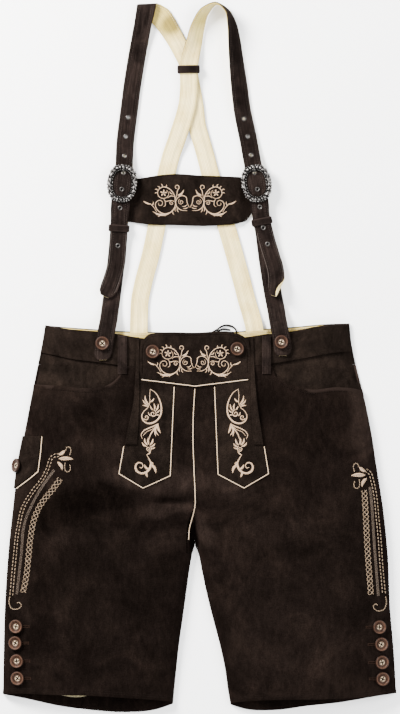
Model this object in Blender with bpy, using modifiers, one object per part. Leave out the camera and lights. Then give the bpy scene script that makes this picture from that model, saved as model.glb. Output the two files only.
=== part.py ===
"""Lederhosen with braces and a chest strap, laid flat on their back.

Units are metres, +Z up, +Y from the hem to the shoulders, and -X is the side that a
viewer sees on the left. The garment lies on z = 0. Its back panels lie flat, and its
front panels stand over them as a shallow hollow with their edges on the back panels.
Tables are in millimetres, with their columns named above them.
"""
import math

import bmesh
import bpy
import numpy as np
from mathutils import Matrix, Vector

MM = 0.001

# Driving sizes, metres.
LEATHER = 0.0020            # body leather
GAP = 0.0003                # seam gap between pieces that touch
LAY = 0.0006                # gap under a piece that lies on a curved panel
SEAT = LEATHER + 0.0011     # height where the outer face of a front panel turns under
STRAP_WIDTH = 0.0254
STRAP_FACE = 0.0015         # dark leather of the braces
STRAP_LINING = 0.0012       # cream lining of the braces
STRAP_STACK = STRAP_FACE + GAP + STRAP_LINING
FACING = 0.0015             # pocket facings
APPLIED = 0.0015            # flap, tabs and other applied leather
CHEST_LEATHER = 0.0026
PIPING_RADIUS = 0.0009
LACE_RADIUS = 0.0013
BUTTON_RADIUS = 0.0103
BUTTON_HEIGHT = 0.0042
KEEPER_WALL = 0.0013
EYELET_HOLE = 0.0021        # radius of the holes punched in the braces
BUCKLE_OUTER = (0.0220, 0.0281)
BUCKLE_INNER = (0.0140, 0.0180)
BUCKLE_DEPTH = 0.0028
BAR_RADIUS = 0.0010
PRONG_RADIUS = 0.0010
PRONG_SLOT = (0.0050, 0.0120, 0.0110)   # width, length and depth of the slot round a prong
OVER_BRACES = 0.0034        # how far the chest strap rises where it crosses the braces
OVER_BRACE_END = 0.0036     # how far the waist lining rises over a sewn-in brace end
LOOP_ARCH = 0.0014          # how far a belt loop stands off the waistband
CROTCH_Y = -0.273
VALLEY_REACH = 0.075        # how far above the crotch the centre valley fades out

# Side seams of the body.
# y, left x, right x
SIDE_SEAMS = [
    (52, -223, 216.5), (17, -229, 220.5), (-18, -236, 228), (-53, -243, 237),
    (-105, -253, 248), (-163, -264, 257), (-221, -271, 266), (-279, -277, 272),
    (-366, -282.5, 276), (-424, -284, 281), (-495, -285, 285),
]
# Centre seam down to the crotch, then the inside edges of the two legs.
# y, left x, right x
INNER_EDGES = [
    (52, -7, -7), (-43, -7, -7), (-112, -9.5, -9.5), (-162, -8, -8), (-221, -7, -7),
    (-271, -7, -7), (-279, -9.5, -3.5), (-308, -15, 3), (-337, -19, 9), (-366, -23, 16),
    (-424, -31, 31), (-453, -34, 37), (-482, -37, 41), (-515, -40, 47),
]
# Height of the front panels' outer face.
# y, z
LOFT = [
    (52, 14.5), (20, 16), (-12, 18.5), (-76, 26), (-163, 31), (-221, 32), (-337, 30),
    (-424, 27), (-515, 22),
]
# x, y of each edge
FRONT_WAIST = [
    (-240, 49), (-224, 47), (-188, 41), (-153, 38), (-119, 34), (-84, 28), (-7, 25),
    (64, 29), (90, 33), (134, 38), (169, 45), (203, 49), (235, 49.5),
]
BACK_WAIST = [
    (-240, 48), (-188, 43.5), (-153, 41), (-110, 38), (-72, 37), (58, 38), (90, 41),
    (134, 44), (177, 48), (235, 50),
]
WAIST_SEAM = [
    (-245, 10), (-213, 4), (-185, -2), (-145, -7), (-108, -12), (-7, -15), (80, -12),
    (109, -8), (145, -2), (196, 7), (240, 10),
]
POCKET_LEFT = [
    (-250, -38), (-203, -41), (-159, -44), (-137, -41), (-123, -33), (-113, -21),
    (-108, -12.2), (-104, -12.2),
]
POCKET_RIGHT = [
    (99, -9.4), (103, -9.4), (106, -20), (116, -31), (138, -41), (160, -46), (196, -43),
    (218, -44), (245, -50),
]
BACK_HEM_LEFT = [
    (-290, -487), (-249, -495), (-203, -505), (-156, -511), (-110, -514), (-63, -510),
    (-36, -501),
]
BACK_HEM_RIGHT = [
    (42, -502), (64, -509), (111, -511), (157, -505), (203, -500), (250, -492),
    (290, -485),
]
FRONT_HEM_LEFT = [
    (-290, -487.5), (-253, -486.5), (-208, -488), (-159, -489), (-113, -492), (-72, -495),
    (-36, -499),
]
FRONT_HEM_RIGHT = [
    (42, -501), (58, -498.5), (90, -496), (135, -495), (196, -494), (240, -491),
    (290, -485.5),
]
# Soft folds pressed into the front panels.
# start x, start y, end x, end y, half width, height
FOLDS = [
    (-215, -20, -90, -185, 26, 2.6), (-150, -95, -205, -225, 22, -1.8),
    (-70, -235, -16, -222, 13, 2.2), (-95, -268, -22, -248, 15, -1.6),
    (55, -232, 6, -222, 13, 2.0), (48, -315, 70, -415, 20, 1.6),
    (-255, -350, -120, -330, 26, -1.6), (120, -300, 235, -345, 30, 1.6),
    (190, -70, 130, -190, 28, 1.8), (-150, -440, -60, -400, 24, 1.5),
    (170, -450, 90, -405, 24, -1.4),
]
# x, y of the flap's edges
FLAP_TOP = [
    (-87, 8), (-86, 18), (-82, 25), (-77, 31), (-72, 34), (-66, 35), (-7, 36),
    (51, 35.4), (58, 33.4), (66, 28), (72, 17), (73, 8),
]
FLAP_BOTTOM = [(-87, -32), (-7, -42), (73, -32)]


def through(rows, column=1):
    """A smooth function through rows of a table, in metres."""
    table = np.array(sorted(rows), dtype=float)
    xs, ys = table[:, 0] * MM, table[:, column] * MM
    slopes = np.gradient(ys, xs)

    def value(x):
        """The table's smooth line at x, level beyond its ends."""
        x = min(max(x, xs[0]), xs[-1])
        i = min(max(int(np.searchsorted(xs, x)) - 1, 0), len(xs) - 2)
        h = xs[i + 1] - xs[i]
        t = (x - xs[i]) / h
        return (
            (2 * t**3 - 3 * t**2 + 1) * ys[i] + (t**3 - 2 * t**2 + t) * h * slopes[i]
            + (3 * t**2 - 2 * t**3) * ys[i + 1] + (t**3 - t**2) * h * slopes[i + 1]
        )
    return value


side_left = through(SIDE_SEAMS, 1)
side_right = through(SIDE_SEAMS, 2)
inner_left = through(INNER_EDGES, 1)
inner_right = through(INNER_EDGES, 2)
loft = through(LOFT)
front_waist = through(FRONT_WAIST)
back_waist = through(BACK_WAIST)
waist_seam = through(WAIST_SEAM)
pocket_left = through(POCKET_LEFT)
pocket_right = through(POCKET_RIGHT)
back_hem = {-1: through(BACK_HEM_LEFT), 1: through(BACK_HEM_RIGHT)}
front_hem = {-1: through(FRONT_HEM_LEFT), 1: through(FRONT_HEM_RIGHT)}


def outer_x(side, y):
    """Side seam of the left (-1) or right (1) half at height y."""
    return side_left(y) if side < 0 else side_right(y)


def inner_x(side, y):
    """Centre seam above the crotch, inside leg below it, with half the seam gap."""
    left, right = inner_left(y), inner_right(y)
    middle = (left + right) / 2
    if side < 0:
        return min(left, middle - GAP / 2)
    return max(right, middle + GAP / 2)


def across(side, x, y):
    """How far x lies from the inner edge (0) to the side seam (1)."""
    inner, outer = inner_x(side, y), outer_x(side, y)
    return min(max((x - inner) / (outer - inner), 0.0), 1.0)


def to_turn(a):
    """Even steps of this measure crowd toward both edges, where the panel turns down."""
    return math.acos(1 - 2 * a) / math.pi


def from_turn(t):
    """The share of the width for a step of to_turn."""
    return (1 - math.cos(math.pi * t)) / 2


def smooth_step(x):
    """0 below 0, 1 above 1, with a smooth rise between."""
    x = min(max(x, 0.0), 1.0)
    return x * x * (3 - 2 * x)


def fold_height(x, y):
    """Sum of the soft folds at a place on the front."""
    total = 0.0
    for x0, y0, x1, y1, width, height in FOLDS:
        start, along = np.array((x0, y0)) * MM, np.array((x1 - x0, y1 - y0)) * MM
        length = float(np.hypot(*along))
        offset = np.array((x, y)) - start
        s = float(offset @ along) / length**2
        d = float(offset[0] * along[1] - offset[1] * along[0]) / length
        reach = math.exp(-((d / (width * MM)) ** 2))
        ends = smooth_step((s + 0.25) / 0.5) * smooth_step((1.25 - s) / 0.5)
        total += height * MM * reach * ends
    return total


def front_point(side, t, y, inset=0.0):
    """A point on the outer face of the front, t from the inner edge to the side seam.

    With an inset it lies on a face that much inside the front.
    """
    a = from_turn(t)
    x = inner_x(side, y) + (outer_x(side, y) - side * inset - inner_x(side, y)) * a
    valley = smooth_step((CROTCH_Y + VALLEY_REACH - y) / VALLEY_REACH)
    round_out = math.sqrt(max(1 - a**5, 0.0))
    round_in = max(1 - (1 - a) ** 5, 0.0) ** (1 - 0.5 * valley)
    profile = round_out * (1 - valley + valley * round_in)
    z = SEAT + (loft(y) - inset - SEAT + fold_height(x, y)) * profile
    return Vector((x, y, z))


def front_frame(side, t, y):
    """Point and outward normal of the front's outer face."""
    t0, t1 = (t, t + 0.01) if t < 0.5 else (t - 0.01, t)
    p = front_point(side, t, y)
    du = front_point(side, t1, y) - front_point(side, t0, y)
    dv = front_point(side, t, y + 0.002) - front_point(side, t, y - 0.002)
    normal = du.cross(dv) * side
    return p, normal.normalized()


def on_front(x, y, lift=0.0):
    """A point over the front at x, y, moved out along the normal by lift."""
    side = -1 if x < (inner_left(y) + inner_right(y)) / 2 else 1
    t = to_turn(across(side, x, y))
    p, normal = front_frame(side, t, y)
    return p + normal * lift


# ---------------------------------------------------------------- scene and materials

def new_collection(name):
    """A collection in the scene."""
    collection = bpy.data.collections.new(name)
    bpy.context.scene.collection.children.link(collection)
    return collection


def material(name, colour, roughness, metallic=0.0):
    """A plain Principled material."""
    made = bpy.data.materials.new(name)
    made.use_nodes = True
    shader = made.node_tree.nodes["Principled BSDF"]
    shader.inputs["Base Color"].default_value = (*colour, 1.0)
    shader.inputs["Roughness"].default_value = roughness
    shader.inputs["Metallic"].default_value = metallic
    made.diffuse_color = (*colour, 1.0)
    return made


def add_object(name, mesh, finish, collection):
    """An object with one material, linked to a collection."""
    made = bpy.data.objects.new(name, mesh)
    collection.objects.link(made)
    made.data.materials.append(finish)
    return made


# ---------------------------------------------------------------- shapes

def sheet(name, rows, thickness, finish, flip=False):
    """A cloth piece: a grid of outer-face points, thickened away from its face."""
    mesh = bpy.data.meshes.new(name)
    width = len(rows[0])
    points = [p for row in rows for p in row]
    faces = []
    for i in range(len(rows) - 1):
        for j in range(width - 1):
            k = i * width + j
            for face in ((k, k + 1, k + width + 1), (k, k + width + 1, k + width)):
                faces.append(face[::-1] if flip else face)
    mesh.from_pydata(points, [], faces)
    made = add_object(name, mesh, finish, PART)
    wall = made.modifiers.new("thickness", "SOLIDIFY")
    wall.thickness = thickness
    wall.offset = -1.0
    wall.use_even_offset = True
    return made


def tube(name, points, radius, finish, sides=1):
    """A round cord or wire through the points, with filled ends."""
    curve = bpy.data.curves.new(name, "CURVE")
    curve.dimensions = "3D"
    curve.bevel_depth = radius
    curve.bevel_resolution = sides
    curve.use_fill_caps = True
    line = curve.splines.new("POLY")
    line.points.add(len(points) - 1)
    for target, p in zip(line.points, points):
        target.co = (*p, 1.0)
    return add_object(name, curve, finish, PART)


def as_mesh(made):
    """Turn a curve object into a closed mesh object of the same name."""
    bpy.context.view_layer.update()
    shape = made.evaluated_get(bpy.context.evaluated_depsgraph_get())
    mesh = bpy.data.meshes.new_from_object(shape)
    work = bmesh.new()
    work.from_mesh(mesh)
    bmesh.ops.remove_doubles(work, verts=work.verts, dist=0.000001)
    bmesh.ops.recalc_face_normals(work, faces=work.faces)
    work.to_mesh(mesh)
    work.free()
    name, place = made.name, made.matrix_world.copy()
    bpy.data.objects.remove(made)
    solid = bpy.data.objects.new(name, mesh)
    solid.matrix_world = place
    PART.objects.link(solid)
    return solid


def round_cutters(name, places, radius, depth):
    """One cutter object of upright pegs at the places."""
    mesh = bpy.data.meshes.new(name)
    work = bmesh.new()
    for place in places:
        bmesh.ops.create_cone(
            work, cap_ends=True, segments=10, radius1=radius, radius2=radius, depth=depth,
            matrix=Matrix.Translation(place),
        )
    work.to_mesh(mesh)
    work.free()
    return hide_cutter(bpy.data.objects.new(name, mesh))


def hide_cutter(made):
    """Keep an object among the cutters, out of the model."""
    CUTTERS.objects.link(made)
    made.hide_render = True
    made.display_type = "WIRE"
    return made


def cut(made, cutter):
    """Cut one object with another."""
    step = made.modifiers.new("cut", "BOOLEAN")
    step.operation = "DIFFERENCE"
    step.object = cutter
    step.solver = "EXACT"


def unite(made, other):
    """Join another object into this one and hide it among the cutters."""
    for owner in list(other.users_collection):
        owner.objects.unlink(other)
    hide_cutter(other)
    step = made.modifiers.new("join", "BOOLEAN")
    step.operation = "UNION"
    step.object = other
    step.solver = "EXACT"


# ---------------------------------------------------------------- straps as bands

STRAY_LIMIT = (0.0005, 0.00015)     # sideways and upward
TWIST_LIMIT = math.radians(6)


def smooth_rows(rows, count):
    """Even points along a smooth line through rows of equal length."""
    table = np.array(rows, dtype=float)
    runs = np.hypot(*np.diff(table[:, :2], axis=0).T) + np.abs(np.diff(table[:, 2]))
    along = np.concatenate(([0.0], np.cumsum(runs)))
    places = np.linspace(0, along[-1], count)
    columns = []
    for column in table.T:
        slopes = np.gradient(column, along)
        i = np.clip(np.searchsorted(along, places) - 1, 0, len(along) - 2)
        h = along[i + 1] - along[i]
        t = (places - along[i]) / h
        columns.append(
            (2 * t**3 - 3 * t**2 + 1) * column[i] + (t**3 - 2 * t**2 + t) * h * slopes[i]
            + (3 * t**2 - 2 * t**3) * column[i + 1] + (t**3 - t**2) * h * slopes[i + 1]
        )
    return np.array(columns).T


def stations(rows):
    """Stations (centre, width direction, half width) along a band.

    Roll 0 lies dark side up, 90 stands on edge, 180 lies cream side up.
    """
    table = smooth_rows(rows, 240)
    made = []
    for i, (x, y, z, roll, half) in enumerate(table):
        before, after = table[max(i - 1, 0)], table[min(i + 1, len(table) - 1)]
        travel = Vector((after[0] - before[0], after[1] - before[1], 0)).normalized()
        right = Vector((travel.y, -travel.x, 0))
        angle = math.radians(roll)
        width = right * math.cos(angle) - Vector((0, 0, math.sin(angle)))
        made.append((Vector((x, y, z)) * MM, width, half * MM))
    return made


def strays(line, first, last):
    """Whether one straight run from first to last would leave the band's line."""
    start, end = line[first], line[last]
    for i in range(first + 1, last):
        share = (i - first) / (last - first)
        off = line[i][0] - start[0].lerp(end[0], share)
        if math.hypot(off.x, off.y) > STRAY_LIMIT[0] or abs(off.z) > STRAY_LIMIT[1]:
            return True
        if abs(line[i][2] - (start[2] + (end[2] - start[2]) * share)) > STRAY_LIMIT[0]:
            return True
    return start[1].angle(end[1]) > TWIST_LIMIT


def thin_out(line):
    """Drop the stations that a nearly straight stretch does not need."""
    kept, last = [line[0]], 0
    for i in range(1, len(line) - 1):
        if strays(line, last, i + 1):
            kept.append(line[i])
            last = i
    return kept + [line[-1]]


def fold_over(start, travel, axis, radius, steps=8):
    """Stations, parallel to the fold, where a flat band folds over round a level axis."""
    across_fold = Vector((-axis.y, axis.x, 0))
    lean = math.atan2(travel.dot(axis), travel.dot(across_fold))
    centre = start - Vector((0, 0, radius))
    made = []
    for i in range(steps + 1):
        turn = math.pi * i / steps
        out = across_fold * math.sin(turn) + Vector((0, 0, math.cos(turn)))
        place = centre + out * radius + axis * (math.tan(lean) * radius * turn)
        made.append((place, axis, STRAP_WIDTH / 2 / math.cos(lean)))
    return made


def band(name, line, high, thickness, finish):
    """A layer of a strap: its face lies high above the middle line."""
    rows = []
    for i, (place, width, half) in enumerate(line):
        before, after = line[max(i - 1, 0)][0], line[min(i + 1, len(line) - 1)][0]
        up = width.cross(after - before).normalized()
        rows.append([place + up * high - width * half, place + up * high + width * half])
    return sheet(name, rows, thickness, finish)


# ---------------------------------------------------------------- body panels

# Where the columns of a front panel lie, 0 at the inner edge and 1 at the side seam.
LEG_TURNS = (
    0, 0.03, 0.07, 0.12, 0.19, 0.26, 0.33, 0.39, 0.44, 0.475, 0.51, 0.545, 0.59, 0.65,
    0.71, 0.77, 0.82, 0.87, 0.92, 0.97, 1.0,
)
# Where its rows lie, 0 at the hem and 1 at the top, closer round the crotch.
LEG_ROWS = (
    0, 0.1, 0.2, 0.3, 0.38, 0.44, 0.475, 0.51, 0.545, 0.58, 0.62, 0.68, 0.75, 0.82, 0.88,
    0.94, 1,
)
FACING_DROP = 0.0014        # extra room between a facing and the panel over it
BAND_LIFT = LAY + APPLIED   # outer face of leather applied on a front panel
OVER_LIFT = BAND_LIFT + LAY + APPLIED
BACK_SEAM_Y = -0.010


def edge_height(side, turn, edge):
    """Where a column of the front meets an edge line."""
    y = edge(inner_x(side, 0.0))
    for _ in range(8):
        y = edge(front_point(side, turn, y).x)
    return y


def front_panel(name, side, turns, bottom, top, rows, thickness, finish, inset=0.0):
    """A piece of the front between two edge lines, with its rows at these shares."""
    ends = [(edge_height(side, t, bottom), edge_height(side, t, top)) for t in turns]
    grid = []
    for share in rows:
        line = []
        for t, (low, high) in zip(turns, ends):
            line.append(front_point(side, t, low + (high - low) * share, inset))
        grid.append(line)
    return sheet(name, grid, thickness, finish, flip=side < 0)


def leg_top(side, x):
    """The top edge of a front panel: the waist seam, then the pocket opening."""
    if side < 0:
        return (pocket_left(x) if x < -0.106 else waist_seam(x)) - GAP
    return (pocket_right(x) if x > 0.101 else waist_seam(x)) - GAP


def build_body(suede, facing_finish, lining):
    """The front and back panels, both waistbands, the pocket facings and the lining."""
    for side, word in ((-1, "left"), (1, "right")):
        front_panel(
            "front_leg_" + word, side, LEG_TURNS, front_hem[side],
            lambda x, side=side: leg_top(side, x), LEG_ROWS, LEATHER, suede,
        )
        front_panel(
            "waistband_front_" + word, side, LEG_TURNS, waist_seam, front_waist,
            (0, 0.5, 1), LEATHER, suede,
        )
        pocket = pocket_left if side < 0 else pocket_right
        front_panel(
            "pocket_facing_" + word, side, LEG_TURNS[9:],
            lambda x, pocket=pocket: pocket(x) - 0.012,
            lambda x: waist_seam(x) + 0.007, (0, 0.5, 1), FACING, facing_finish,
            inset=LEATHER + GAP + FACING_DROP,
        )
        back_leg(side, word, suede)
    waistband_back(suede)
    waistband_lining(lining)


def back_leg(side, word, suede):
    """A back panel, flat on the surface, longer than the front at its hem."""
    rows = 16
    grid = []
    for i in range(rows + 1):
        line = []
        for a in (0, 0.1, 0.25, 0.4, 0.55, 0.7, 0.85, 1):
            y = BACK_SEAM_Y
            for _ in range(6):
                x = inner_x(side, y) + (outer_x(side, y) - inner_x(side, y)) * a
                low = back_hem[side](x)
                y = low + (BACK_SEAM_Y - GAP - low) * i / rows
            x = inner_x(side, y) + (outer_x(side, y) - inner_x(side, y)) * a
            line.append(Vector((x, y, LEATHER)))
        grid.append(line)
    sheet("back_leg_" + word, grid, LEATHER, suede, flip=side < 0)


def flat_rows(lefts, bottoms, tops, count, z):
    """A grid with given columns between two edge lines, at height z(x, y)."""
    grid = []
    for i in range(count + 1):
        line = []
        for x, low, high in zip(lefts, bottoms, tops):
            y = low + (high - low) * i / count
            line.append(Vector((x, y, z(x, y))))
        grid.append(line)
    return grid


def waistband_back(suede):
    """The back waistband, flat on the surface."""
    columns = [x * MM for x in (-225, -190, -150, -110, -60, 0, 55, 100, 150, 190, 218)]
    grid = []
    for part in (0, 0.5, 1):
        line = []
        for i, x in enumerate(columns):
            y = BACK_SEAM_Y + (back_waist(x) - BACK_SEAM_Y) * part
            if i == 0:
                x = side_left(y)
            elif i == len(columns) - 1:
                x = side_right(y)
            line.append(Vector((x, y, LEATHER)))
        grid.append(line)
    sheet("waistband_back", grid, LEATHER, suede)


# Ends of the back braces between the waistband and its lining.
# centre x
BRACE_ENDS = (-88, 80.5)


def waistband_lining(finish):
    """Cream lining on the back waistband, raised where the brace ends lie under it."""
    columns = [x * MM for x in (
        -219, -180, -140, -112, -104, -88, -72, -64, 0, 56, 64, 81, 97, 105, 150, 185, 212,
    )]

    def height(x, y):
        """The lining's face, over the back waistband and the brace ends."""
        raised = max(
            smooth_step((0.024 - abs(x - centre * MM)) / 0.008) for centre in BRACE_ENDS
        )
        rise = raised * smooth_step((y - 0.010) / 0.009) * OVER_BRACE_END
        return LEATHER + GAP + STRAP_LINING + rise

    bottoms = [-0.004] * len(columns)
    tops = [back_waist(x) - 0.0015 for x in columns]
    sheet(
        "waistband_lining", flat_rows(columns, bottoms, tops, 5, height), STRAP_LINING, finish,
    )


# ---------------------------------------------------------------- applied leather

flap_top = through(FLAP_TOP)
FLAP_COLUMNS = (-87, -86, -83, -78, -72, -64, -48, -28, -7, 14, 34, 51, 59, 65.5, 70.5, 73)


def flap_bottom(x):
    """The flap's lower edge, a shallow point at the centre."""
    (x0, y0), (x1, y1), (x2, y2) = FLAP_BOTTOM
    return float(np.interp(x / MM, (x0, x1, x2), (y0, y1, y2))) * MM


def build_flap(finish):
    """The front flap, which lies over the waistband."""
    columns = [x * MM for x in FLAP_COLUMNS]
    rows = 5
    grid = []
    for i in range(rows + 1):
        line = []
        for x in columns:
            y = flap_bottom(x) + (flap_top(x) - flap_bottom(x)) * i / rows
            line.append(on_front(x, y, BAND_LIFT))
        grid.append(line)
    sheet("flap", grid, APPLIED, finish)


# Tabs and plackets beside the flap.
# y, inner x, outer x for each side
TAB_EDGES = {
    -1: [(-30, -38, -103), (-105, -41, -106), (-125, -42, -107.5), (-187, -45, -118)],
    1: [(-30, 22.5, 88.5), (-105, 25.5, 89.5), (-125, 26, 91), (-187, 29, 101.5)],
}
# x, y of the inner corner, the point and the outer corner
TAB_POINTS = {
    -1: [(-44, -170), (-82, -187), (-115, -167)],
    1: [(28, -168), (64, -187), (98, -167)],
}
# y, inner x, outer x
PLACKET_EDGES = {
    -1: [(30, -88.2, -104.3), (-62, -89.5, -105), (-127, -94, -107.5)],
    1: [(30, 74.2, 89.6), (-62, 75, 89.6), (-127, 78, 91)],
}
PLACKET_TOP, PLACKET_BOTTOM = 0.029, -0.126
# side, y top, y bottom, inner x, outer x
BELT_LOOPS = {-1: (32, -24, -105.2, -118.5), 1: (31, -24, 90.2, 102.8)}


def tab_bottom(side, x):
    """The pointed lower edge of a tab."""
    points = sorted(TAB_POINTS[side])
    return float(np.interp(x / MM, [p[0] for p in points], [p[1] for p in points])) * MM


def edged_piece(name, side, inner, outer, low, high, shares, rows, lift, finish):
    """A piece of the front between an inner and an outer edge line."""
    grid = []
    for i in range(rows + 1):
        line = []
        for share in shares:
            y = high
            for _ in range(6):
                x = inner(y) + (outer(y) - inner(y)) * share
                y = low(x) + (high - low(x)) * i / rows
                y = min(y, flap_bottom(x) - GAP) if name.startswith("flap_tab") else y
            line.append(on_front(x, y, lift(y)))
        grid.append(line)
    return sheet(name, grid, APPLIED, finish, flip=side < 0)


def build_tabs(finish):
    """The pointed tabs, the fly plackets and the belt loops."""
    for side, word in ((-1, "left"), (1, "right")):
        inner, outer = through(TAB_EDGES[side], 1), through(TAB_EDGES[side], 2)
        edged_piece(
            "flap_tab_" + word, side, inner, outer, lambda x, side=side: tab_bottom(side, x),
            -0.0325, (0, 0.14, 0.28, 0.42, 0.55, 0.7, 0.85, 1), 9, lambda y: BAND_LIFT, finish,
        )
        inner, outer = through(PLACKET_EDGES[side], 1), through(PLACKET_EDGES[side], 2)

        def rise(y):
            """The placket steps up onto the tab below the flap."""
            return BAND_LIFT + (OVER_LIFT - BAND_LIFT) * smooth_step((-0.014 - y) / 0.016)
        edged_piece(
            "fly_placket_" + word, side, inner, outer, lambda x: PLACKET_BOTTOM,
            PLACKET_TOP, (0, 0.5, 1), 12, rise, finish,
        )
        top, bottom, near, far = (value * MM for value in BELT_LOOPS[side])

        def arch(y, top=top, bottom=bottom):
            """The loop stands off between its sewn ends."""
            share = (y - bottom) / (top - bottom)
            return BAND_LIFT + LOOP_ARCH * smooth_step(min(share, 1 - share) / 0.22)
        edged_piece(
            "belt_loop_" + word, side, lambda y, near=near: near, lambda y, far=far: far,
            lambda x, bottom=bottom: bottom, top, (0, 0.5, 1), 9, arch, finish,
        )


# Knife pocket on the left side seam: inner edge from its top to its lower corner, and
# the height where its lower edge meets the side seam.
# x, y
KNIFE_EDGE = [(-229, -114), (-235, -165)]
KNIFE_SEAM_Y = -0.190


def knife_bottom(x):
    """The slanting lower edge of the knife pocket."""
    (x0, y0), x1 = KNIFE_EDGE[1], side_left(KNIFE_SEAM_Y) / MM
    return float(np.interp(x / MM, (x1, x0), (KNIFE_SEAM_Y / MM, y0))) * MM


def build_knife_pocket(finish):
    """The knife pocket, and the route of the piping along its edge."""
    (x0, y0), (x1, y1) = [(x * MM, y * MM) for x, y in KNIFE_EDGE]
    rows, columns = 7, 9
    grid = []
    for i in range(rows + 1):
        line = []
        for j in range(columns + 1):
            y = y0
            for _ in range(6):
                edge_x = x0 + (x1 - x0) * (y - y0) / (y1 - y0)
                start = to_turn(across(-1, edge_x, y))
                p, normal = front_frame(-1, start + (1 - start) * j / columns, y)
                low = knife_bottom(p.x)
                y = low + (y0 - low) * i / rows
            line.append(p + normal * BAND_LIFT)
        grid.append(line)
    sheet("knife_pocket", grid, APPLIED, finish, flip=True)
    route = [(x0 + 0.0012, y0), (x0 - 0.001, y0 - 0.026), (x1 + 0.0016, y1)]
    for share in (0.3, 0.6, 0.8, 0.92):
        x = x1 + (side_left(KNIFE_SEAM_Y) - x1) * share
        route.append((x, knife_bottom(x) - 0.0022))
    return [on_front(x, y, LAY + PIPING_RADIUS) for x, y in route]


def spread(route, spacing=0.018):
    """Even points on the straight runs of a route, keeping its corners."""
    made = [route[0]]
    for start, end in zip(route, route[1:]):
        count = max(1, round(math.hypot(end[0] - start[0], end[1] - start[1]) / spacing))
        for i in range(1, count + 1):
            made.append((
                start[0] + (end[0] - start[0]) * i / count,
                start[1] + (end[1] - start[1]) * i / count,
            ))
    return made


# x, y of the piping on the centre seam, which turns onto the left leg at the crotch
CENTRE_PIPING = [
    (-7, -45.5), (-9, -79), (-9.7, -112), (-8.2, -162), (-7, -200), (-8, -222),
    (-11.5, -246), (-16, -262), (-19, -274),
]


def build_piping(finish, knife_route):
    """Cream cord along the flap, round the tabs, down the centre and on the knife pocket."""
    flat = LAY + PIPING_RADIUS
    seam = [(x * MM, flap_bottom(x * MM)) for x in (-86, -60, -33, -7, 20, 46, 72)]
    points = [on_front(x, y, BAND_LIFT + flat) for x, y in seam]
    tube("piping_flap", points, PIPING_RADIUS, finish)
    beside = PIPING_RADIUS + GAP + 0.0003
    for side, word in ((-1, "left"), (1, "right")):
        inner, outer = through(TAB_EDGES[side], 1), through(TAB_EDGES[side], 2)
        (xi, yi), (xp, yp), (xo, yo) = [(x * MM, y * MM) for x, y in TAB_POINTS[side]]
        route = [
            (inner(-0.044) - side * beside, -0.044), (xi - side * beside, yi - beside / 2),
            (xp, yp - beside), (xo + side * beside, yo - beside / 2),
            (outer(-0.128) + side * beside, -0.128),
        ]
        points = [on_front(x, y, flat) for x, y in spread(route)]
        tube("piping_tab_" + word, points, PIPING_RADIUS, finish)
    table = smooth_rows([(x, y, 0) for x, y in CENTRE_PIPING], 18)
    points = [on_front(x * MM, y * MM, flat) for x, y, _ in table]
    tube("piping_center", points, PIPING_RADIUS, finish)
    tube("piping_knife_pocket", knife_route, PIPING_RADIUS, finish)


# ---------------------------------------------------------------- braces

HALF = 12.7
# Middle line of each brace, from the front tail up to the shoulder.
# x, y, z, roll, half width
BRACE_FRONT = {
    -1: [
        (-137.5, 88.5, 6.4, 0, 6.5), (-135.5, 93, 5.7, 0, 10.6), (-132.5, 99, 5.0, 0, 12.4),
        (-128.5, 109, 5.2, 0, HALF), (-121.5, 133, 5.2, 0, HALF), (-118.5, 163, 5.4, 0, HALF),
        (-117.5, 177, 6.6, 0, HALF), (-117, 187, 6.9, 0, HALF), (-116.6, 193, 7.2, 0, HALF),
        (-116.4, 199, 8.3, 0, HALF), (-115.3, 218, 8.7, 0, HALF), (-113.6, 236, 9.7, 0, HALF),
        (-112.2, 252, 11.0, 0, HALF), (-111.2, 261, 10.2, 0, HALF), (-110.4, 268, 8.9, 0, HALF),
        (-109.6, 278, 6.6, 0, HALF),
        (-109, 292, 3.8, 0, HALF), (-108, 312, 1.8, 0, HALF), (-105.5, 334, 1.45, 0, HALF),
        (-103, 353, 1.45, 0, HALF), (-98, 392, 1.45, 0, HALF), (-90.3, 440, 2.2, 0, HALF),
        (-85.5, 466, 4.4, 0, HALF), (-81.5, 487, 7.2, 0, HALF), (-77.8, 506, 8.35, 0, HALF),
    ],
    1: [
        (107.5, 89, 11.0, -34, 6.5), (109, 94.5, 10.0, -26, 10.6), (110.3, 101, 8.4, -16, 12.4),
        (111, 110, 6.6, -7, HALF), (109, 128, 5.3, 0, HALF), (103.5, 147, 5.2, 0, HALF),
        (98, 165, 5.4, 0, HALF), (93.5, 182, 6.7, 0, HALF), (90, 197, 6.9, 0, HALF),
        (88.8, 204, 7.2, 0, HALF), (88, 210, 8.3, 0, HALF), (87, 218, 8.7, 0, HALF),
        (84.5, 236, 9.7, 0, HALF), (82, 252, 11.0, 0, HALF), (80.4, 261, 10.2, 0, HALF),
        (79, 268, 8.9, 0, HALF),
        (77.2, 278, 6.6, 0, HALF), (74.5, 293, 3.8, 0, HALF), (71, 313, 2.0, 0, HALF),
        (66.5, 334, 2.4, 4, HALF), (62.2, 354, 4.1, 12, HALF), (57, 393, 6.2, 22, HALF),
        (52.5, 431, 9.4, 37, HALF), (49.6, 460, 11.2, 48, HALF), (46, 484, 12.9, 62, HALF),
        (38.5, 503, 14.1, 80, HALF), (25, 512, 14.4, 90, HALF),
    ],
}
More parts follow.
